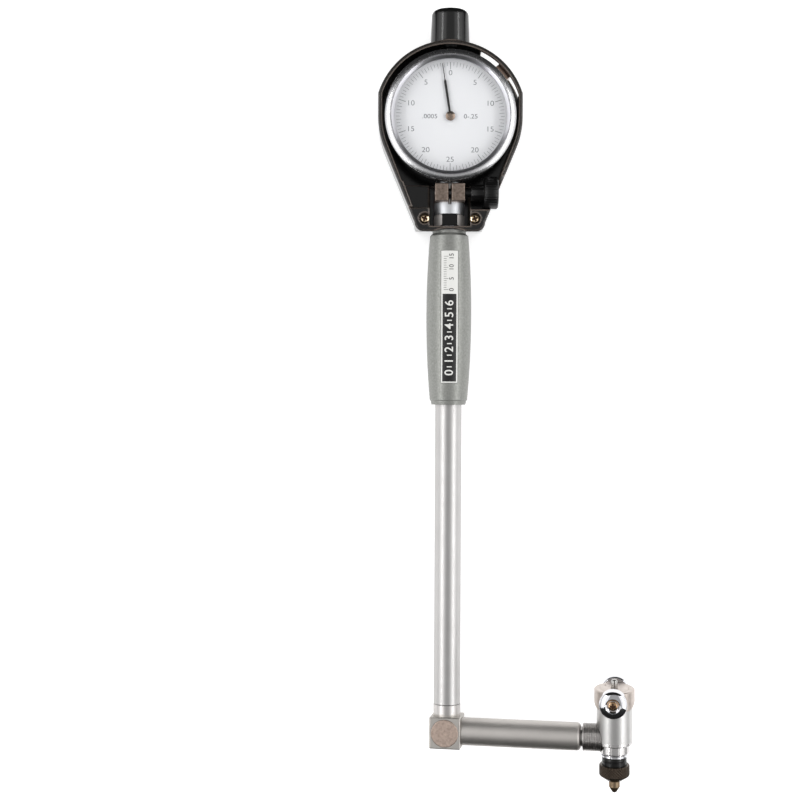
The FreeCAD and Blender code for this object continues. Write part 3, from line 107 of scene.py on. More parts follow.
def startMaterial(name, settings):
    material = bpy.data.materials.new(name)
    material.use_nodes = True
    tree = material.node_tree
    tree.nodes.clear()
    shader = addNode(tree, "ShaderNodeBsdfPrincipled", settings)
    addNode(tree, "ShaderNodeOutputMaterial", links={"Surface": shader.outputs["BSDF"]})
    where = addNode(tree, "ShaderNodeTexCoord").outputs["Object"]
    return material, tree, shader, where


# How a finish varies: its roughness by a share of its value, its bump by a depth.
metalVaries = {"spread": 0.2, "depth": 0.02}  # mm
skinVaries = {"spread": 0.15, "depth": 0.05}  # mm


# The bump sits on softened edges, as broken edges catch the light on a real part.
def bumped(tree, shader, height, strength, distance, edge):
    softened = addNode(tree, "ShaderNodeBevel", {"samples": 6, "Radius": edge * mm})
    bump = addNode(tree, "ShaderNodeBump", {"Strength": strength, "Distance": distance * mm},
                   {"Height": height, "Normal": softened.outputs["Normal"]})
    tree.links.new(bump.outputs["Normal"], shader.inputs["Normal"])


# The roughness runs a share below and above its value.
def varied(tree, shader, source, roughness, spread):
    rough = addNode(tree, "ShaderNodeMapRange", {
        "To Min": roughness * (1 - spread), "To Max": roughness * (1 + spread)}, {"Value": source})
    tree.links.new(rough.outputs["Result"], shader.inputs["Roughness"])


# Turned or drawn metal: marks in the roughness and the bump, which stretch makes run one way, over a soft
# cloud of two colours. The sizes are in millimetres. Real marks are finer than a pixel, a few hundredths
# of a millimetre, and are drawn some tenths wide so that they show.
def drawnMetal(name, base, dark, roughness, stretch=(1, 1, 1), markSize=0.5, bump=0.02, edge=0.25,
               cloudSize=9):
    material, tree, shader, where = startMaterial(name, {"Metallic": 1.0})
    mapping = addNode(tree, "ShaderNodeMapping", {"Scale": stretch}, {"Vector": where})
    marks = addNode(tree, "ShaderNodeTexNoise", {"Scale": 1 / (markSize * mm), "Detail": 4.0},
                    {"Vector": mapping.outputs["Vector"]})
    cloud = addNode(tree, "ShaderNodeTexNoise", {"Scale": 1 / (cloudSize * mm), "Detail": 2.0},
                    {"Vector": where})
    mix = addNode(tree, "ShaderNodeMix", {"data_type": "RGBA"}, {"Factor": cloud.outputs["Fac"]})
    mix.inputs["A"].default_value = paint(base)
    mix.inputs["B"].default_value = paint(dark)
    tree.links.new(mix.outputs["Result"], shader.inputs["Base Color"])
    varied(tree, shader, marks.outputs["Fac"], roughness, metalVaries["spread"])
    bumped(tree, shader, marks.outputs["Fac"], bump, metalVaries["depth"], edge)
    return material


# Moulded, painted or blasted surfaces: a cloud of two colours and a skin as fine as grain. The sizes are
# in millimetres.
def mouldedSkin(name, base, dark, roughness, grain=0.4, bump=0.02, metallic=0.0, edge=0.25,
                cloudSize=14):
    material, tree, shader, where = startMaterial(name, {"Metallic": metallic})
    cloud, skin = (addNode(tree, "ShaderNodeTexNoise", {"Scale": 1 / (wide * mm), "Detail": 3.0},
                           {"Vector": where}) for wide in (cloudSize, grain))
    mix = addNode(tree, "ShaderNodeMix", {"data_type": "RGBA"}, {"Factor": cloud.outputs["Fac"]})
    mix.inputs["A"].default_value = paint(base)
    mix.inputs["B"].default_value = paint(dark)
    tree.links.new(mix.outputs["Result"], shader.inputs["Base Color"])
    varied(tree, shader, cloud.outputs["Fac"], roughness, skinVaries["spread"])
    bumped(tree, shader, skin.outputs["Fac"], bump, skinVaries["depth"], edge)
    return material


mats = {
    # Moulded ABS with a gloss skin: deep black, with the lamps as soft streaks on its rounded edges; a pale
    # line along its edges is painted on below as a painted highlight.
    "guard": mouldedSkin("mouldedGlossBlackShell", "#141414", "#0e0e0e", 0.16, 1.2, 0.03, edge=1.4),
    # Turned and lacquered brass: warm glints on each dome.
    "screwBrass": drawnMetal("turnedBrassScrew", "#f0dcc0", "#d9bf98", 0.14, markSize=0.3, edge=0.06),
    # The same brass, tarnished: brown where the other is yellow.
    "axleBrass": drawnMetal("tarnishedBrassScrew", "#c9a988", "#98795c", 0.2, markSize=0.3, edge=0.06),
    # Dark brown painted in the broached cross recess as painted shade: a dull brown cross.
    "recess": mouldedSkin("paintedShadeCrossRecess", "#5a3c2a", "#3a2518", 0.5, 0.3, 0.05, 0.6, edge=0.03),
    # Turned hub, bronzed: a small warm mirror at the middle of the dial.
    "hub": drawnMetal("bronzedHub", "#b3a294", "#96806f", 0.22, markSize=0.3, edge=0.1),
    # Turned and brushed chrome: an even pale ring round the window.
    "slope": drawnMetal("brushedBezelSlope", "#c2c2c6", "#b2b2b7", 0.3, markSize=0.4, edge=0.1),
    # Nickel-plated brass, turned satin: a flat grey that shows through the guard's window.
    "caseMetal": drawnMetal("satinNickelCase", "#8b8b8c", "#77787a", 0.3, (1, 1, 6), 0.4),
    # Ground steel: cool, with fine rings as the wheel leaves them.
    "steel": drawnMetal("groundSteel", "#b8b7b5", "#9c9a97", 0.2, (1, 8, 1), 0.3),
    # Turned brass: an even warm yellow on the bushes and the wheels.
    "brass": drawnMetal("turnedBrass", "#b99b62", "#9c8250", 0.3, markSize=0.3),
    # Polished chrome plate: black and white halves with hard edges.
    "chrome": drawnMetal("polishedChromePlate", "#d9d9dc", "#cfcfd3", 0.06, markSize=2.0, bump=0.0),
    # Chrome over a satin-turned rim: the same halves, blurred into each other.
    "rimChrome": drawnMetal("satinChromeRim", "#d2d2d4", "#c8c8ca", 0.26, markSize=2.0, bump=0.0),
    # Black enamel on thin steel: the darkest line on the dial, with little shine.
    "pointer": mouldedSkin("blackEnamelPointer", "#0f0f10", "#0b0b0c", 0.3, edge=0.05),
    # Sprayed enamel: an even matt off-white.
    "face": mouldedSkin("offWhiteDialEnamel", "#e7e8ea", "#e3e4e7", 0.5, 0.3, 0.01, edge=0.1),
    # Screen-printed ink: a flat grey, duller than the enamel round it.
    "ink": mouldedSkin("printedGreyInk", "#707276", "#66686c", 0.6, 0.3, 0.01, edge=0.01),
    # Nickel plate on a cast lug: a pinkish grey mirror, blurred by wear.
    "nickel": drawnMetal("warmNickelPlate", "#b09a8b", "#8d786b", 0.16, (1, 1, 1), 1.2, edge=0.2),
    # Plate worn through in spots: brown and grey mottling about a millimetre wide.
    "neck": drawnMetal("platedSplitClamp", "#b5a498", "#44382f", 0.44, (1, 1, 1), 0.9, edge=0.35,
                       cloudSize=1.3),
    # A pale, dull finish on the nut's side flats: a painted sheen in place of the lamps' glance off them, set
    # as not metallic so that it stays pale in any light.
    "flats": mouldedSkin("paintedSheenNutFlats", "#d9d4d1", "#c4bfbb", 0.45, 0.4, 0.02, 0.0, edge=0.05),
    # Knurled and blackened steel: dark brown, with a glint on each tooth.
    "knurl": mouldedSkin("blackenedKnurl", "#51473e", "#2c251e", 0.26, 0.6, 0.1, 0.9, edge=0.02),
    # Black oxide on turned steel: near black, with a soft oiled sheen.
    "blackMetal": mouldedSkin("blackOxideSteel", "#1c1b1b", "#131313", 0.22, 0.5, 0.08, 0.5),
    # Hammer-finish lacquer: pale and dark grey dimples, about a millimetre wide.
    "grip": mouldedSkin("hammeredGreyGrip", "#9d9e9a", "#757672", 0.4, 0.5, 0.15, 0.5, cloudSize=0.9),
    # Printed plastic plate: a satin off-white.
    "label": mouldedSkin("printedPlate", "#e2e2df", "#d8d8d4", 0.35, 0.5, 0.02, edge=0.1),
    # Black ink printed on the plate: black with the plate's own sheen.
    "labelInk": mouldedSkin("printedBlackPanel", "#171717", "#111111", 0.35, 0.5, 0.02, edge=0.02),
    # Drawn steel tube, satin chromed: pale, with soft streaks that run along it.
    "tube": drawnMetal("satinChromeTube", "#bfbebd", "#b4b2b1", 0.4, (1, 0.06, 1), 0.35),
    # Drawn aluminium tube, anodised grey: like the stem's, but darker and warmer.
    "arm": drawnMetal("greyAnodisedTube", "#cbc7c3", "#bdb9b5", 0.5, (0.06, 1, 1), 0.35),
    # Milled steel block, satin plated: an even grey that darkens face by face.
    "block": drawnMetal("satinGreyBlock", "#c3bfb9", "#aca8a4", 0.42, (1, 1, 1), 0.8),
    # Bead-blasted disc: pinkish speckles. Real ones are about 0.2 mm wide and are drawn at 1 mm to show.
    "cover": mouldedSkin("beadBlastedCover", "#dcc8ba", "#8d7b73", 0.44, 0.9, 0.9, 1.0, cloudSize=1.1),
    # Turned steel, satin plated: bright, with soft bands along it.
    "head": drawnMetal("satinHead", "#cfcecd", "#c1c0be", 0.38, (1, 1, 1), 0.5),
    # Turned sleeve, satin plated: beige, with small clouds.
    "bridge": drawnMetal("beigeSatinBridge", "#cfc5be", "#a89e97", 0.34, (1, 1, 1), 0.8, cloudSize=2.5),
    # Cut thread on bare steel: grey, with light on its crests.
    "collar": drawnMetal("threadedSteel", "#a9a6a4", "#8a8785", 0.3, (1, 1, 1), 0.5),
    # Hardened steel with its temper colour left on: brown gold.
    "bronze": drawnMetal("darkBronzedSteel", "#a8937a", "#7a6854", 0.42, (1, 1, 1), 0.6),
}


# Turned and polished acrylic: clear, with the lamps mirrored faintly on it. What isn't mirrored at the
# surface passes straight through to the face beneath it.
acrylic = {"ior": 1.49, "smearSize": 12, "smearRough": 0.04}  # mm


def crystalMaterial():
    material, tree, shader, where = startMaterial("clearAcrylicCrystal", {
        "Base Color": (1, 1, 1, 1), "Metallic": 1.0})
    smear = addNode(tree, "ShaderNodeTexNoise", {"Scale": 1 / (acrylic["smearSize"] * mm), "Detail": 2.0},
                    {"Vector": where})
    rough = addNode(tree, "ShaderNodeMapRange", {"To Min": 0.0, "To Max": acrylic["smearRough"]},
                    {"Value": smear.outputs["Fac"]})
    tree.links.new(rough.outputs["Result"], shader.inputs["Roughness"])
    mirrored = addNode(tree, "ShaderNodeFresnel", {"IOR": acrylic["ior"]})
    inside = addNode(tree, "ShaderNodeNewGeometry").outputs["Backfacing"]
    shadow = addNode(tree, "ShaderNodeLightPath").outputs["Is Shadow Ray"]
    passing = addNode(tree, "ShaderNodeMath", {"operation": "MAXIMUM"}, {0: inside, 1: shadow})
    share = addNode(tree, "ShaderNodeMapRange", {"To Min": 1.0, "To Max": 0.0},
                    {"Value": passing.outputs["Value"]})
    factor = addNode(tree, "ShaderNodeMath", {"operation": "MULTIPLY"},
                     {0: mirrored.outputs["Fac"], 1: share.outputs["Result"]})
    clear = addNode(tree, "ShaderNodeBsdfTransparent")
    pick = addNode(tree, "ShaderNodeMixShader", {}, {
        "Fac": factor.outputs["Value"], 1: clear.outputs["BSDF"], 2: shader.outputs["BSDF"]})
    tree.links.new(pick.outputs["Shader"], tree.nodes["Material Output"].inputs["Surface"])
    return material


mats["crystal"] = crystalMaterial()


# A pale line is painted along edges: a painted highlight standing in for the lamps glancing off rounded
# edges. An edge is where the softened normal turns away from the true one, by these cosines.
highlightEdgeCosines = {"start": 0.985, "full": 0.88}


def rubbedEdges(material, base):
    tree = material.node_tree
    shader = tree.nodes["Principled BSDF"]
    painted = shader.inputs["Base Color"].links[0].from_socket
    softened = next(node for node in tree.nodes if node.bl_idname == "ShaderNodeBevel")
    true = addNode(tree, "ShaderNodeNewGeometry").outputs["Normal"]
    across = addNode(tree, "ShaderNodeVectorMath", {"operation": "DOT_PRODUCT"},
                     {0: softened.outputs["Normal"], 1: true})
    highlightShare = addNode(tree, "ShaderNodeMapRange", {"From Min": highlightEdgeCosines["start"], "From Max": highlightEdgeCosines["full"]},
                     {"Value": across.outputs["Value"]})
    mix = addNode(tree, "ShaderNodeMix", {"data_type": "RGBA"},
                  {"Factor": highlightShare.outputs["Result"], "A": painted})
    mix.inputs["B"].default_value = paint(base)
    tree.links.new(mix.outputs["Result"], shader.inputs["Base Color"])


# Painted highlight: a pale brown-grey line along the black guard's edges.
rubbedEdges(mats["guard"], "#7d7169")
# Painted highlight: a pale line along the split clamp block's edges.
rubbedEdges(mats["neck"], "#d9cbbf")


# Turned bright on one side of a level along the stem: the clamp's tube, the block's neck, the head's
# step. The level and the short way that the change takes are in millimetres.
fade = 0.2


def brightPart(material, base, roughness, level, above):
    tree = material.node_tree
    shader = tree.nodes["Principled BSDF"]
    where = addNode(tree, "ShaderNodeTexCoord").outputs["Object"]
    split = addNode(tree, "ShaderNodeSeparateXYZ", links={"Vector": where})
    band = addNode(tree, "ShaderNodeMapRange", {
        "From Min": (level - fade / 2) * mm, "From Max": (level + fade / 2) * mm,
        "To Min": 0.0 if above else 1.0, "To Max": 1.0 if above else 0.0}, {"Value": split.outputs["Y"]})
    share = band.outputs["Result"]
    dull = [shader.inputs[name].links[0].from_socket for name in ("Base Color", "Roughness")]
    mix = addNode(tree, "ShaderNodeMix", {"data_type": "RGBA"}, {"Factor": share, "A": dull[0]})
    mix.inputs["B"].default_value = paint(base)
    tree.links.new(mix.outputs["Result"], shader.inputs["Base Color"])
    blend = addNode(tree, "ShaderNodeMapRange", {"To Max": roughness}, {"Value": share, "To Min": dull[1]})
    tree.links.new(blend.outputs["Result"], shader.inputs["Roughness"])


brightPart(mats["neck"], "#d4d6d9", 0.5, -38.3, False)
brightPart(mats["block"], "#c3c0be", 0.36, -269.5, True)
brightPart(mats["head"], "#cbc9c8", 0.18, -279.2, False)

finishes = {
    "guard": ["guard_shell", "guard_clamp"],
    "screwBrass": ["guard_screws"],
    "axleBrass": ["front_axle_screw", "back_axle_screw"],
    "caseMetal": ["dial_case", "case_cover"],
    "steel": ["cover_screws", "dial_stem", "spindle", "stem_rod", "elbow_lever", "elbow_pin", "arm_rod",
              "head_lever", "head_pin", "contact", "centre_arbor"],
    "bronze": ["anvil"],
    "brass": ["movement_plate", "rack_wheel", "takeup_wheel", "upper_bush", "lower_bush", "inner_bush",
              "outer_bush"],
    "chrome": ["bezel", "neck_washer", "front_roller", "back_roller"],
    "pointer": ["pointer"],
    "face": ["dial_face"],
    "crystal": ["crystal"],
    "nickel": ["bezel_clamp", "bezel_clamp_screw"],
    "neck": ["clamp_neck"],
    "blackMetal": ["spindle_cap", "clamp_screw", "lock_nut", "anvil_seat", "anvil_nut"],
    "grip": ["grip"],
    "label": ["grip_label"],
    "tube": ["stem_tube"],
    "arm": ["arm_tube"],
    "block": ["corner_block"],
    "cover": ["block_cover"],
    "head": ["head_body"],
    "bridge": ["bridge"],
    "collar": ["head_collar"],
}
for finish, names in finishes.items():
    for name in names:
        nodes[name].data.materials.clear()
        nodes[name].data.materials.append(mats[finish])
print("materials assigned")


# Pieces are bmesh shapes in millimetres in a frame of their own, placed in metres at the end. Edges
# below the angle sharp are smooth. second is another finish with a test for the faces that get it, or
# with none where they are marked already.
weld = 1e-5  # mm


def finishPiece(bm, name, finish, body, place, replaces=(), sharp=35, second=None):
    bmesh.ops.remove_doubles(bm, verts=bm.verts, dist=weld)
    bmesh.ops.recalc_face_normals(bm, faces=bm.faces)
    for edge in bm.edges:
        edge.smooth = len(edge.link_faces) == 2 and edge.calc_face_angle(0) < math.radians(sharp)
    for face in bm.faces:
        face.smooth = True
        if second and second[1] and second[1](face.calc_center_median(), face.normal):
            face.material_index = 1
    mesh = bpy.data.meshes.new(name)
    bm.to_mesh(mesh)
    bm.free()
    mesh.transform(place @ Matrix.Scale(mm, 4))
    mesh.materials.append(mats[finish])
    if second:
        mesh.materials.append(mats[second[0]])
    piece = bpy.data.objects.new(name, mesh)
    bpy.context.scene.collection.objects.link(piece)
    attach(piece, body)
    if replaces:
        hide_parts(*replaces)
    return piece


# A closed ring of (radius, along) corners turned about the local Y axis.
def turned(bm, corners, segments=144):
    verts = [bm.verts.new((radius, along, 0)) for radius, along in corners]
    edges = [bm.edges.new((verts[i], verts[(i + 1) % len(verts)])) for i in range(len(verts))
             if corners[i][0] > 0 or corners[(i + 1) % len(verts)][0] > 0]
    return bmesh.ops.spin(bm, geom=verts + edges, cent=(0, 0, 0), axis=(0, 1, 0), angle=2 * math.pi,
                          steps=segments, use_merge=True, use_duplicate=False)


def arc(centreRadius, centreAlong, radius, startAngle, endAngle, steps=6):
    turns = [math.radians(startAngle + (endAngle - startAngle) * i / steps) for i in range(steps + 1)]
    return [(centreRadius + radius * math.cos(turn), centreAlong + radius * math.sin(turn)) for turn in turns]


def steps(start, end, count):
    return [start + (end - start) * i / count for i in range(count + 1)]


def wave(phase):
    return abs((phase % 1) * 2 - 1)


# Rings of points about the local Y axis. A row is (radius, along), and where it has a third item its
# points are moved by shift, which is how threads, teeth, flats and recesses are made.
def ringed(bm, rows, segments, shift):
    rings = []
    for radius, along, *marked in rows:
        ring = []
        for i in range(segments if radius else 1):
            turn = i / segments
            r, y = shift(turn, radius, along) if marked else (radius, along)
            angle = 2 * math.pi * turn
            ring.append(bm.verts.new((r * math.cos(angle), y, r * math.sin(angle))))
        rings.append(ring)
    for ring, following in zip(rings, rings[1:] + rings[:1]):
        for i in range(segments):
            corners = [ring[i % len(ring)], ring[(i + 1) % len(ring)],
                       following[(i + 1) % len(following)], following[i % len(following)]]
            distinct = list(dict.fromkeys(corners))
            if len(distinct) > 2:
                bm.faces.new(distinct)


# A screw's head with a cross recess, as turned and broached. Faces in the recess get the second finish, a
# dark brown painted as the recess's shade.
def crossedHead(bm, head):
    def recessed(turn, radius, along):
        x = abs(radius * math.cos(2 * math.pi * turn))
        z = abs(radius * math.sin(2 * math.pi * turn))
        side = min(max((head["armHalf"] - min(x, z)) / head["wall"], 0), 1)
        end = min(max((head["armLength"] - max(x, z)) / head["wall"], 0), 1)
        return radius, along - head["recess"] * side * end

    radius, low, rim, top = head["radius"], head["low"], head["rim"], head["top"]
    rows = [(0, low), (radius, low), (radius, rim)]
    for share in steps(1, 0, head["rows"]):
        along = rim + (top - rim) * math.sqrt(max(1 - share ** head["fullness"], 0))
        rows.append((radius * share, along, True))
    middle = rows.pop()
    rows.append((0, middle[1] - head["recess"]))
    ringed(bm, rows, head["segments"], recessed)
    for face in bm.faces:
        centre = face.calc_center_median()
        share = min(math.hypot(centre.x, centre.z) / radius, 1)
        dome = rim + (top - rim) * math.sqrt(max(1 - share ** head["fullness"], 0))
        face.material_index = int(rim < centre.y < dome - head["mark"] and share < head["markReach"])


# Printed marks on the dial's face. The top and the bottom number stand further out than the others.
dial = {"radius": 24.4, "marks": 100, "marksPerNumber": 10, "short": 1.7, "long": 2.3, "longest": 3.3,
        "width": 0.14, "wide": 0.22, "numbers": 10, "numberStep": 5, "numberRadius": 19.45,
        "sideRadius": 18.75, "numberHeight": 3.3, "lift": 0.02, "small": 2.8, "smallPlace": 9.2,
        "smallDrop": 0.1, "thin": -0.025, "spread": 1.12}  # mm
facePlace = Matrix.Translation((0, 0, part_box("dial_face")[1][2]))


def dialMarks():
    bm = bmesh.new()
    for i in range(dial["marks"]):
        numbered = i % dial["marksPerNumber"] == 0
        length = dial["longest"] if numbered else dial["long"] if i % 2 == 0 else dial["short"]
        width = dial["wide"] if numbered else dial["width"]
        turn = Matrix.Rotation(-math.radians(360 / dial["marks"] * i), 4, "Z")
        shift = Matrix.Translation((0, dial["radius"] - length / 2, dial["lift"] / 2))
        size = Matrix.Diagonal((width, length, dial["lift"], 1))
        bmesh.ops.create_cube(bm, size=1, matrix=turn @ shift @ size)
    finishPiece(bm, "dialMarks", "ink", "bezel", facePlace)


# Writing as a mesh, thick by a little and centred on its own origin.
def lettered(text, height, spread=1.0, thin=0.0):
    curve = bpy.data.curves.new("writing", "FONT")
    curve.body = text
    curve.align_x = "CENTER"
    curve.align_y = "CENTER"
    curve.size = height
    curve.extrude = dial["lift"] / 2
    curve.offset = thin
    holder = bpy.data.objects.new("writing", curve)
    bpy.context.scene.collection.objects.link(holder)
    bpy.context.view_layer.update()
    mesh = bpy.data.meshes.new_from_object(holder.evaluated_get(bpy.context.evaluated_depsgraph_get()))
    bpy.data.objects.remove(holder)
    bm = bmesh.new()
    bm.from_mesh(mesh)
    bpy.data.meshes.remove(mesh)
    bmesh.ops.scale(bm, verts=bm.verts, vec=(spread, 1, 1))
    return bm


def dialNumbers():
    count = dial["numbers"]
    for i in range(count):
        text = str(dial["numberStep"] * min(i, count - i))
        bm = lettered(text, dial["numberHeight"], dial["spread"], dial["thin"])
        angle = math.radians(360 / count * i)
        radius = dial["numberRadius"] if i % (count // 2) == 0 else dial["sideRadius"]
        x, y = math.sin(angle) * radius, math.cos(angle) * radius
        bmesh.ops.translate(bm, verts=bm.verts, vec=(x, y, dial["lift"] / 2))
        finishPiece(bm, f"dialNumber{i}", "ink", "bezel", facePlace)
    for name, text, side in (("dialStep", ".0005", -1), ("dialSpan", "0-.25", 1)):
        bm = lettered(text, dial["small"], dial["spread"])
        bmesh.ops.translate(bm, verts=bm.verts,
                            vec=(side * dial["smallPlace"], -dial["smallDrop"], dial["lift"] / 2))
        finishPiece(bm, name, "ink", "bezel", facePlace)


dialMarks()
dialNumbers()
print("dial printed")


# The bezel: a polished ring with a rolled outer edge, a fine groove and a slope down to the crystal.
ring = {"outer": 29.4, "back": 18.4, "backBreak": 0.4, "bore": 27.12, "front": 25.5, "roll": 4.84,
        "rollStart": 45, "rollEnd": 78, "edge": 0.25, "groove": 26.9, "grooveDepth": 0.45,
        "grooveWidth": 0.25, "lip": 0.35, "lipDrop": 0.12, "window": 25.1, "windowBreak": 0.1,
        "slopeEnd": 24.4, "slopeInset": 0.3, "slopeRise": 0.1, "seat": 22.92, "faceBore": 26.32,
        "land": 19.54, "edgeSteps": 4, "rollSteps": 16, "segments": 240}  # mm


def bezelRing():
    def onSlope(centre, normal):
        inside = math.hypot(centre.x, centre.z) < ring["groove"] - ring["slopeInset"]
        return inside and centre.y > ring["seat"] + ring["slopeRise"]

    bm = bmesh.new()
    outer, front, roll, groove = ring["outer"], ring["front"], ring["roll"], ring["groove"]
    corners = [(ring["bore"], ring["back"]), (outer - ring["backBreak"], ring["back"]),
               (outer, ring["back"] + ring["backBreak"])]
    low, high = (math.radians(ring[key]) for key in ("rollStart", "rollEnd"))
    centre = (groove - roll * math.cos(high), front - roll * math.sin(high))
    inner = roll - ring["edge"]
    corners += arc(centre[0] + inner * math.cos(low), centre[1] + inner * math.sin(low), ring["edge"], 0,
                   ring["rollStart"], ring["edgeSteps"])
    corners += arc(*centre, roll, ring["rollStart"], ring["rollEnd"], ring["rollSteps"])[1:]
    corners += [(groove, front - ring["grooveDepth"]),
                (groove - ring["grooveWidth"], front - ring["grooveDepth"]),
                (groove - ring["lip"], front - ring["lipDrop"])]
    corners += [(ring["window"] + ring["windowBreak"], ring["slopeEnd"] + ring["windowBreak"]),
                (ring["window"], ring["slopeEnd"])]
    corners += [(ring["window"], ring["seat"]), (ring["faceBore"], ring["seat"]),
                (ring["faceBore"], ring["land"]), (ring["bore"], ring["land"])]
    turned(bm, corners, ring["segments"])
    finishPiece(bm, "bezelRing", "rimChrome", "bezel", turnX, ["bezel"], 35, ("slope", onSlope))


# The pointer's hub: a small bright cone pressed on the arbor.
hub = {"radius": 2.12, "low": 20.96, "rim": 0.2, "top": 21.6, "tip": 0.9, "segments": 64}  # mm


def pointerHub():
    bm = bmesh.new()
    turned(bm, [(0, hub["low"]), (hub["radius"], hub["low"]), (hub["radius"], hub["low"] + hub["rim"]),
                (hub["tip"], hub["top"]), (0, hub["top"])], hub["segments"])
    finishPiece(bm, "pointerHub", "hub", "pointer", turnX)


bezelRing()
pointerHub()
print("bezel and hub turned")


# Screws: two hold the guard's lower clamp, and one in each roller is its axle's head.
guardScrew = {"radius": 2.25, "low": 0.0, "rim": 0.35, "top": 1.4, "fullness": 2.2, "rows": 24,
              "segments": 96, "armHalf": 0.42, "armLength": 1.35, "wall": 0.2, "recess": 0.8, "mark": 0.12,
              "markReach": 0.9, "x": 11.3, "y": -45.9, "seat": 18.6, "twist": 20, "shank": 1.3,
              "shankStart": 3.5, "shankSegments": 32}  # mm
axleScrew = {"radius": 2.1, "low": 0.0, "rim": 0.2, "top": 0.85, "fullness": 2.2, "rows": 24,
             "segments": 96, "armHalf": 0.42, "armLength": 1.3, "wall": 0.18, "recess": 0.5, "mark": 0.1,
             "markReach": 0.9, "head": 14.84, "shank": 1.6, "start": 8.06, "shankSegments": 32}  # mm


# The plain shank under a head, down to a level below it.
def screwShank(bm, screw, depth):
    turned(bm, [(0, -depth), (screw["shank"], -depth), (screw["shank"], 0), (0, 0)], screw["shankSegments"])


def guardScrewHeads():
    bm = bmesh.new()
    for side in (-1, 1):
        part = bmesh.new()
        crossedHead(part, guardScrew)
        screwShank(part, guardScrew, guardScrew["seat"] - guardScrew["shankStart"])
        bmesh.ops.rotate(part, verts=part.verts, cent=(0, 0, 0),
                         matrix=Matrix.Rotation(math.radians(guardScrew["twist"] * side), 3, "Y"))
        bmesh.ops.transform(part, verts=part.verts, matrix=Matrix.Translation(
            (side * guardScrew["x"], guardScrew["y"], guardScrew["seat"])) @ turnX)
        scratch = bpy.data.meshes.new("scratch")
        part.to_mesh(scratch)
        part.free()
        bm.from_mesh(scratch)
        bpy.data.meshes.remove(scratch)
    finishPiece(bm, "guardScrewHeads", "screwBrass", "gauge", Matrix.Identity(4),
                ["guard_screws"], 35, ("recess", None))


# The rollers: hardened barrels with a domed outer end and a dished seat for the axle's head.
rollerSize = {"radius": 6.15, "inner": 9.1, "innerBreak": 0.5, "end": 15.5, "edge": 0.7, "edgeTurn": 44,
              "edgeSteps": 6, "dome": 4.9, "domeTurn": 80, "domeSteps": 12, "dish": 2.35, "depth": 0.7,
              "bore": 1.64, "height": 19.05}  # mm


def rollers():
    size = rollerSize
    half = Matrix.Rotation(math.pi, 4, "Y")
    up = Matrix.Translation((0, size["height"] * mm, 0))
    for side, turn in (("front", Matrix.Identity(4)), ("back", half)):
        place = headFrame @ up @ turn @ turnX
        bm = bmesh.new()
        turn, last = math.radians(size["edgeTurn"]), math.radians(size["domeTurn"])
        slack = size["dome"] - size["edge"]
        middle = size["radius"] - size["edge"] - slack * math.cos(turn)
        level = size["end"] - size["dome"] * math.sin(last)
        rolled = arc(size["radius"] - size["edge"], level + slack * math.sin(turn), size["edge"], 0,
                     size["edgeTurn"], size["edgeSteps"])
        rolled += arc(middle, level, size["dome"], size["edgeTurn"], size["domeTurn"], size["domeSteps"])[1:]
        turned(bm, [(size["bore"], size["inner"]), (size["radius"] - size["innerBreak"], size["inner"]),
                    (size["radius"], size["inner"] + size["innerBreak"])] + rolled
               + [(size["dish"], size["end"] - size["depth"]), (size["bore"], size["end"] - size["depth"])])
        finishPiece(bm, side + "Roller", "chrome", side + "_roller", place, [side + "_roller"])
        bm = bmesh.new()
        crossedHead(bm, axleScrew)
        screwShank(bm, axleScrew, axleScrew["head"] - axleScrew["start"])
        finishPiece(bm, side + "AxleScrew", "axleBrass", "bridge",
                    place @ Matrix.Translation((0, axleScrew["head"] * mm, 0)), [side + "_axle_screw"],
                    35, ("recess", None))


# The clamp screw: a black thumb screw with a fine straight knurl on its knob.
thumb = {"shank": 2.0, "start": -5.0, "shankBreak": 0.4, "collarStart": 9.4, "collar": 3.75,
         "collarBreak": 0.3, "knobStart": 15.2, "knob": 7.25, "knobEnd": 21.6, "bevel": 0.7, "dish": 0.3,
         "teeth": 44, "perTooth": 6, "tooth": 0.12, "drop": 34.3, "height": 19.2}  # mm


def thumbScrew():
    def toothed(turn, radius, along):
        return radius - thumb["tooth"] * wave(turn * thumb["teeth"]), along

    bm = bmesh.new()
    start, end, bevel, knob, dish = (thumb[key] for key in ("knobStart", "knobEnd", "bevel", "knob", "dish"))
    shank, shankBreak, collar, collarBreak = (
        thumb[key] for key in ("shank", "shankBreak", "collar", "collarBreak"))
    rows = [(0, thumb["start"]), (shank - shankBreak, thumb["start"]), (shank, thumb["start"] + shankBreak),
            (shank, thumb["collarStart"]), (collar - collarBreak, thumb["collarStart"]),
            (collar, thumb["collarStart"] + collarBreak), (collar, start),
            (knob - bevel, start), (knob, start + bevel, True), (knob, end - bevel, True),
            (knob - bevel, end), (knob - bevel * 2, end), (knob - bevel * 2 - dish, end - dish),
            (0, end - dish)]
    ringed(bm, rows, thumb["teeth"] * thumb["perTooth"], toothed)
    place = Matrix.Translation((0, -thumb["drop"] * mm, thumb["height"] * mm)) @ turnZ
    finishPiece(bm, "thumbScrew", "blackMetal", "clamp_screw", place, ["clamp_screw"], 50)


# The lock nut: a hexagon with turned ends, blackened, with a pale finish painted on the side flats that face
# the lamps as a painted sheen.
hexNut = {"flats": 12.0, "corner": 6.928, "bore": 5.62, "top": -43.5, "end": -48.9, "face": 5.9, "rows": 8,
          "slope": 0.42, "segments": 240, "sideFacing": 0.7, "sideTilt": 0.25}  # mm


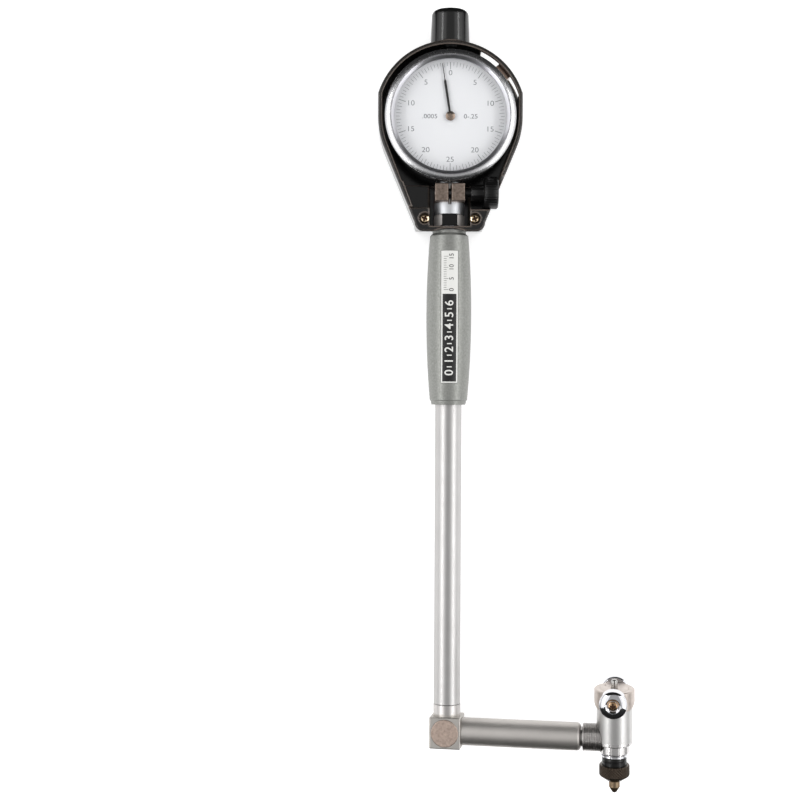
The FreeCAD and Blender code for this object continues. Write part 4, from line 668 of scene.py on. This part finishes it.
def lockNut():
    def flattened(turn, radius, along):
        off = math.radians((turn * 360) % 60 - 30)
        return min(radius, hexNut["flats"] / 2 / math.cos(off)), along

    # Faces turned towards the side lamps get the painted sheen.
    def onSide(centre, normal):
        return abs(normal.x) > hexNut["sideFacing"] and abs(normal.y) < hexNut["sideTilt"]

    bm = bmesh.new()
    rise = steps(hexNut["face"], hexNut["corner"], hexNut["rows"])
    rows = [(hexNut["bore"], hexNut["end"])]
    rows += [(r, hexNut["end"] + (r - hexNut["face"]) * hexNut["slope"], True) for r in rise]
    rows += [(r, hexNut["top"] - (r - hexNut["face"]) * hexNut["slope"], True) for r in reversed(rise)]
    rows += [(hexNut["bore"], hexNut["top"])]
    ringed(bm, rows, hexNut["segments"], flattened)
    finishPiece(bm, "lockNut", "blackMetal", "gauge", stemFrame, ["lock_nut"], 25,
                ("flats", onSide))


# The arm's collar, with a fine thread.
thread = {"radius": 6.33, "pitch": 0.75, "depth": 0.36, "start": 61.6, "end": 69.8, "chamfer": 0.25,
          "bore": 2.74, "spigot": 4.43, "spigotStart": 57.62, "rowsPerTurn": 10, "segments": 120}  # mm


def collarThread():
    def cutThread(turn, radius, along):
        return radius - thread["depth"] * wave(along / thread["pitch"] - turn), along

    bm = bmesh.new()
    start, end = thread["start"], thread["end"]
    count = round((end - start - thread["chamfer"]) / thread["pitch"] * thread["rowsPerTurn"])
    rows = [(thread["bore"], thread["spigotStart"]), (thread["spigot"], thread["spigotStart"]),
            (thread["spigot"], start), (thread["radius"] - thread["chamfer"], start)]
    rows += [(thread["radius"], along, True) for along in steps(start + thread["chamfer"], end, count)]
    rows += [(thread["bore"], end)]
    ringed(bm, rows, thread["segments"], cutThread)
    finishPiece(bm, "collarThread", "collar", "gauge", blockFrame @ turnZ, ["head_collar"], 60)


# The anvil's seat: a bright ring at its top, and a black neck with a break and a narrow groove, given as
# how far in and how far below the ring each corner is.
seat = {"bore": 2.47, "top": -6.82, "ring": 5.9, "ringBreak": 0.4, "ringEnd": -7.9, "ringMargin": 0.02,
        "neck": 5.5, "neckCorners": ((0.1, 0.01), (0, 0.2), (0, 1.6), (0.25, 1.8), (0.25, 2.1), (0, 2.3)),
        "end": -12.6}  # mm


def anvilSeat():
    def onRing(centre, normal):
        return centre.y > seat["ringEnd"] - seat["ringMargin"]

    bm = bmesh.new()
    top, outer, bevel = seat["top"], seat["ring"], seat["ringBreak"]
    neck = [(seat["neck"] - inset, seat["ringEnd"] - drop) for inset, drop in seat["neckCorners"]]
    turned(bm, [(seat["bore"], top), (outer - bevel, top), (outer, top - bevel), (outer, seat["ringEnd"])]
           + neck + [(seat["neck"], seat["end"]), (seat["bore"], seat["end"])])
    finishPiece(bm, "anvilSeat", "blackMetal", "gauge", headFrame, ["anvil_seat"], 35,
                ("chrome", onRing))


# The nut with its diamond knurl. A real one has diamonds of about 0.8 mm; they are drawn at 1.3 mm, so
# that they show.
knurl = {"bore": 2.49, "socket": 5.54, "socketEnd": -12.62, "start": -11.9, "end": -17.0, "radius": 6.85,
         "cone": 3.4, "coneEnd": -19.2, "teeth": 32, "perTooth": 8, "depth": 0.42, "pitch": 1.3, "rows": 40,
         "break": 0.5, "plainStart": 0.4, "plainEnd": 0.3}  # mm


def knurledNut():
    def crossed(turn, radius, along):
        around = turn * knurl["teeth"]
        slant = along / knurl["pitch"]
        return radius - knurl["depth"] * max(wave(around + slant), wave(around - slant)), along

    bm = bmesh.new()
    start, end, radius = knurl["start"], knurl["end"], knurl["radius"]
    rows = [(knurl["bore"], knurl["socketEnd"]), (knurl["bore"], knurl["coneEnd"]),
            (knurl["cone"], knurl["coneEnd"]), (radius - knurl["break"], end)]
    rows += [(radius, along, True)
             for along in steps(end + knurl["plainEnd"], start - knurl["plainStart"], knurl["rows"])]
    rows += [(radius - knurl["break"], start), (knurl["socket"], start),
             (knurl["socket"], knurl["socketEnd"])]
    ringed(bm, rows, knurl["teeth"] * knurl["perTooth"], crossed)
    finishPiece(bm, "knurledNut", "knurl", "anvil_nut", headFrame, ["anvil_nut"], 60)


# The anvil: a hardened rod with a rounded point.
anvilRod = {"radius": 2.45, "top": -8.98, "straight": -22.2, "round": 1.35, "roundStart": 38,
            "roundSteps": 10, "end": -25.0, "segments": 64}  # mm


def anvilPoint():
    size = anvilRod
    bm = bmesh.new()
    tip = arc(0, size["end"] + size["round"], size["round"], -size["roundStart"], -90, size["roundSteps"])
    turned(bm, [(0, size["top"]), (size["radius"], size["top"]), (size["radius"], size["straight"])]
           + tip[:-1] + [(0, size["end"])], size["segments"])
    finishPiece(bm, "anvilPoint", "bronze", "gauge", headFrame, ["anvil"], 20)


guardScrewHeads()
rollers()
anvilPoint()
thumbScrew()
lockNut()
collarThread()
anvilSeat()
knurledNut()
print("turned pieces made")


# The grip's plate: a black panel with plain numbers, and a small plain rule above it.
plate = {"half": 3.1, "top": -79.9, "end": -119.2, "lift": 0.03, "sheet": 0.02, "rows": 16, "column": 0.5,
         "numbers": 7, "numberHeight": 5.4, "bold": 0.06, "first": 4.0, "pitch": 5.1975, "tick": 2.2,
         "tickWidth": 0.5}  # mm
rule = {"start": -63.0, "length": 15, "width": 0.16, "tick": 1.3, "longer": 1.6, "every": 5, "side": -2.7,
        "numberHeight": 2.9, "numberSide": 0.9}  # mm


# The plate's height in millimetres, found by a ray from a level in metres that is above all pieces.
castFrom = 0.1


def plateHeight(x, y):
    above = Vector((x * mm, y * mm, castFrom))
    found, point, normal, index = nodes["grip_label"].ray_cast(above, Vector((0, 0, -1)))
    return point.z / mm


# Lays a flat shape on the plate's curve, after cutting it into narrow columns.
def laidOnPlate(bm, lift):
    for x in steps(-plate["half"], plate["half"], round(plate["half"] * 2 / plate["column"])):
        bmesh.ops.bisect_plane(bm, geom=bm.verts[:] + bm.edges[:] + bm.faces[:], plane_co=(x, 0, 0),
                               plane_no=(1, 0, 0))
    for vert in bm.verts:
        vert.co.z += plateHeight(vert.co.x, vert.co.y) + lift


def bar(bm, x, y, width, length, height):
    place = Matrix.Translation((x, y, height / 2)) @ Matrix.Diagonal((width, length, height, 1))
    bmesh.ops.create_cube(bm, size=1, matrix=place)


# Numbers are turned to read along the grip.
def plateNumber(name, finish, value, height, thin, x, y, lift):
    bm = lettered(str(value), height, 1.0, thin)
    bmesh.ops.rotate(bm, verts=bm.verts, cent=(0, 0, 0), matrix=Matrix.Rotation(math.radians(90), 3, "Z"))
    bmesh.ops.translate(bm, verts=bm.verts, vec=(x, y, 0))
    laidOnPlate(bm, lift)
    finishPiece(bm, name, finish, "gauge", Matrix.Identity(4))


def labelPanel():
    bm = bmesh.new()
    step = (plate["top"] - plate["end"]) / plate["rows"]
    for i in range(plate["rows"]):
        bar(bm, 0, plate["end"] + step * (i + 0.5), plate["half"] * 2, step, plate["sheet"])
    laidOnPlate(bm, plate["lift"])
    finishPiece(bm, "labelPanel", "labelInk", "gauge", Matrix.Identity(4))


def labelNumbers():
    lift = plate["lift"] + plate["sheet"]
    first = plate["end"] + plate["first"]
    for i in range(plate["numbers"]):
        plateNumber(f"labelNumber{i}", "label", i, plate["numberHeight"], plate["bold"], 0,
                    first + plate["pitch"] * i, lift)
    bm = bmesh.new()
    for i in range(plate["numbers"] - 1):
        bar(bm, 0, first + plate["pitch"] * (i + 0.5), plate["tick"], plate["tickWidth"], dial["lift"])
    laidOnPlate(bm, lift)
    finishPiece(bm, "labelTicks", "label", "gauge", Matrix.Identity(4))


def labelRule():
    bm = bmesh.new()
    for i in range(rule["length"] + 1):
        length = rule["tick"] * (rule["longer"] if i % rule["every"] == 0 else 1)
        bar(bm, rule["side"] + length / 2, rule["start"] - i, length, rule["width"], dial["lift"])
    laidOnPlate(bm, plate["lift"])
    finishPiece(bm, "labelRule", "labelInk", "gauge", Matrix.Identity(4))
    for i in range(rule["length"] // rule["every"] + 1):
        drop = rule["every"] * i
        plateNumber(f"ruleNumber{i}", "labelInk", rule["length"] - drop, rule["numberHeight"], 0.0,
                    rule["numberSide"], rule["start"] - drop, plate["lift"])


labelPanel()
labelNumbers()
labelRule()
print("plate printed")


# Floor, dark cards, lamps and camera, in metres and watts, with the lens and its sensor in millimetres.
floor = {"half": 3.0, "drop": 0.0001}
cards = {"near": -0.316, "far": 0.06, "half": 0.9, "depth": 0.5, "lift": 0.001, "top": 0.95}
lamps = {"reach": 0.93, "height": 0.8, "box": {"size": (2.0, 1.1), "power": 6.0, "share": 1.0},
         "tube": {"size": (1.5, 0.07), "power": 3.2, "share": 0.9}}
studio = {"ceiling": 0.48, "wall": 0.85, "wallTop": 0.3, "ceilingStart": 0.5}
view = {"height": 0.702, "lens": 68.3, "sensor": 36, "clip": 0.01, "aim": (-0.022, -0.1276), "roll": 0.28}


def sheetObject(name, corners, material):
    bm = bmesh.new()
    bm.faces.new([bm.verts.new(corner) for corner in corners])
    mesh = bpy.data.meshes.new(name)
    bm.to_mesh(mesh)
    bm.free()
    mesh.materials.append(material)
    item = bpy.data.objects.new(name, mesh)
    bpy.context.scene.collection.objects.link(item)
    return item


def levelSheet(name, x0, y0, x1, y1, height, material):
    corners = [(x0, y0, height), (x1, y0, height), (x1, y1, height), (x0, y1, height)]
    return sheetObject(name, corners, material)


# Rays from the camera, and those that metal and glass send on.
def seenRay(tree):
    ray = addNode(tree, "ShaderNodeLightPath")
    seen = ray.outputs["Is Camera Ray"]
    for kind in ("Is Glossy Ray", "Is Transmission Ray"):
        either = addNode(tree, "ShaderNodeMath", {"operation": "MAXIMUM"}, {0: seen, 1: ray.outputs[kind]})
        seen = either.outputs["Value"]
    return seen


# White paper, lit past white where it is seen, so that only soft shadows show on it.
def paperMaterial():
    material = bpy.data.materials.new("palePaper")
    material.use_nodes = True
    tree = material.node_tree
    tree.nodes.clear()
    diffuse = addNode(tree, "ShaderNodeBsdfDiffuse", {"Color": paint("#e8e8e8")})
    glow = addNode(tree, "ShaderNodeEmission", {"Color": (1, 1, 1, 1), "Strength": 0.5})
    both = addNode(tree, "ShaderNodeAddShader", {}, {0: diffuse.outputs["BSDF"], 1: glow.outputs["Emission"]})
    pick = addNode(tree, "ShaderNodeMixShader", {}, {
        "Fac": seenRay(tree), 1: diffuse.outputs["BSDF"], 2: both.outputs["Shader"]})
    addNode(tree, "ShaderNodeOutputMaterial", links={"Surface": pick.outputs["Shader"]})
    return material


# The studio: pale walls at the horizon under a dimmer ceiling. The camera itself sees it as white paper.
def makeWorld():
    world = bpy.data.worlds.new("studio")
    bpy.context.scene.world = world
    world.use_nodes = True
    tree = world.node_tree
    tree.nodes.clear()
    where = addNode(tree, "ShaderNodeTexCoord").outputs["Generated"]
    split = addNode(tree, "ShaderNodeSeparateXYZ", links={"Vector": where})
    level = addNode(tree, "ShaderNodeMapRange", {
        "From Min": studio["wallTop"], "From Max": studio["ceilingStart"], "To Min": studio["wall"],
        "To Max": studio["ceiling"]}, {"Value": split.outputs["Z"]})
    glow = addNode(tree, "ShaderNodeBackground", {"Color": (1, 1, 1, 1)},
                   {"Strength": level.outputs["Result"]})
    white = addNode(tree, "ShaderNodeBackground", {"Color": (1, 1, 1, 1), "Strength": 1.0})
    seen = addNode(tree, "ShaderNodeLightPath").outputs["Is Camera Ray"]
    pick = addNode(tree, "ShaderNodeMixShader", {}, {
        "Fac": seen, 1: glow.outputs["Background"], 2: white.outputs["Background"]})
    addNode(tree, "ShaderNodeOutputWorld", links={"Surface": pick.outputs["Shader"]})


def makeLamp(name, side, kind):
    light = bpy.data.lights.new(name, "AREA")
    light.shape = "RECTANGLE"
    light.size, light.size_y = kind["size"]
    light.energy = kind["power"]
    lamp = bpy.data.objects.new(name, light)
    target = Vector((0, view["aim"][1], 0))
    lamp.location = target + Vector((side * lamps["reach"], 0, lamps["height"])) * kind["share"]
    facing = (lamp.location - target).normalized()
    across = Vector((0, 1, 0))
    turn = Matrix((across, facing.cross(across), facing)).transposed()
    lamp.rotation_euler = turn.to_euler()
    bpy.context.scene.collection.objects.link(lamp)


def makeCamera():
    data = bpy.data.cameras.new("camera")
    data.lens = view["lens"]
    data.sensor_width = view["sensor"]
    data.clip_start = view["clip"]
    camera = bpy.data.objects.new("camera", data)
    camera.location = (*view["aim"], view["height"])
    camera.rotation_euler = (0, 0, math.radians(view["roll"]))
    bpy.context.scene.collection.objects.link(camera)
    bpy.context.scene.camera = camera


# Two cards of matt black cloth, which only mirror-like surfaces see. They give the metals' dark bands.
def makeCards(floorHeight):
    darkCloth = mouldedSkin("blackCloth", "#0c0c0c", "#080808", 0.9, 1.0, 0.1)
    half, level, top = cards["half"], floorHeight + cards["lift"], cards["top"]
    for name, edge, side in (("nearCard", cards["near"], -1), ("farCard", cards["far"], 1)):
        end = edge + side * cards["depth"]
        corners = [(-half, end, level), (half, end, level), (half, end, top), (-half, end, top)]
        card = levelSheet(name, -half, edge, half, end, level, darkCloth)
        wall = sheetObject(name + "Wall", corners, darkCloth)
        for piece in (card, wall):
            piece.visible_camera = piece.visible_diffuse = piece.visible_shadow = False


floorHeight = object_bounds()[0][2] - floor["drop"]
side = floor["half"]
levelSheet("floor", -side, -side, side, side, floorHeight, paperMaterial())
makeCards(floorHeight)
makeWorld()
for name, side in (("left", -1), ("right", 1)):
    makeLamp(name + "Box", side, lamps["box"])
    makeLamp(name + "Tube", side, lamps["tube"])
makeCamera()
bpy.context.scene.view_settings.view_transform = "Standard"
print("stage set")
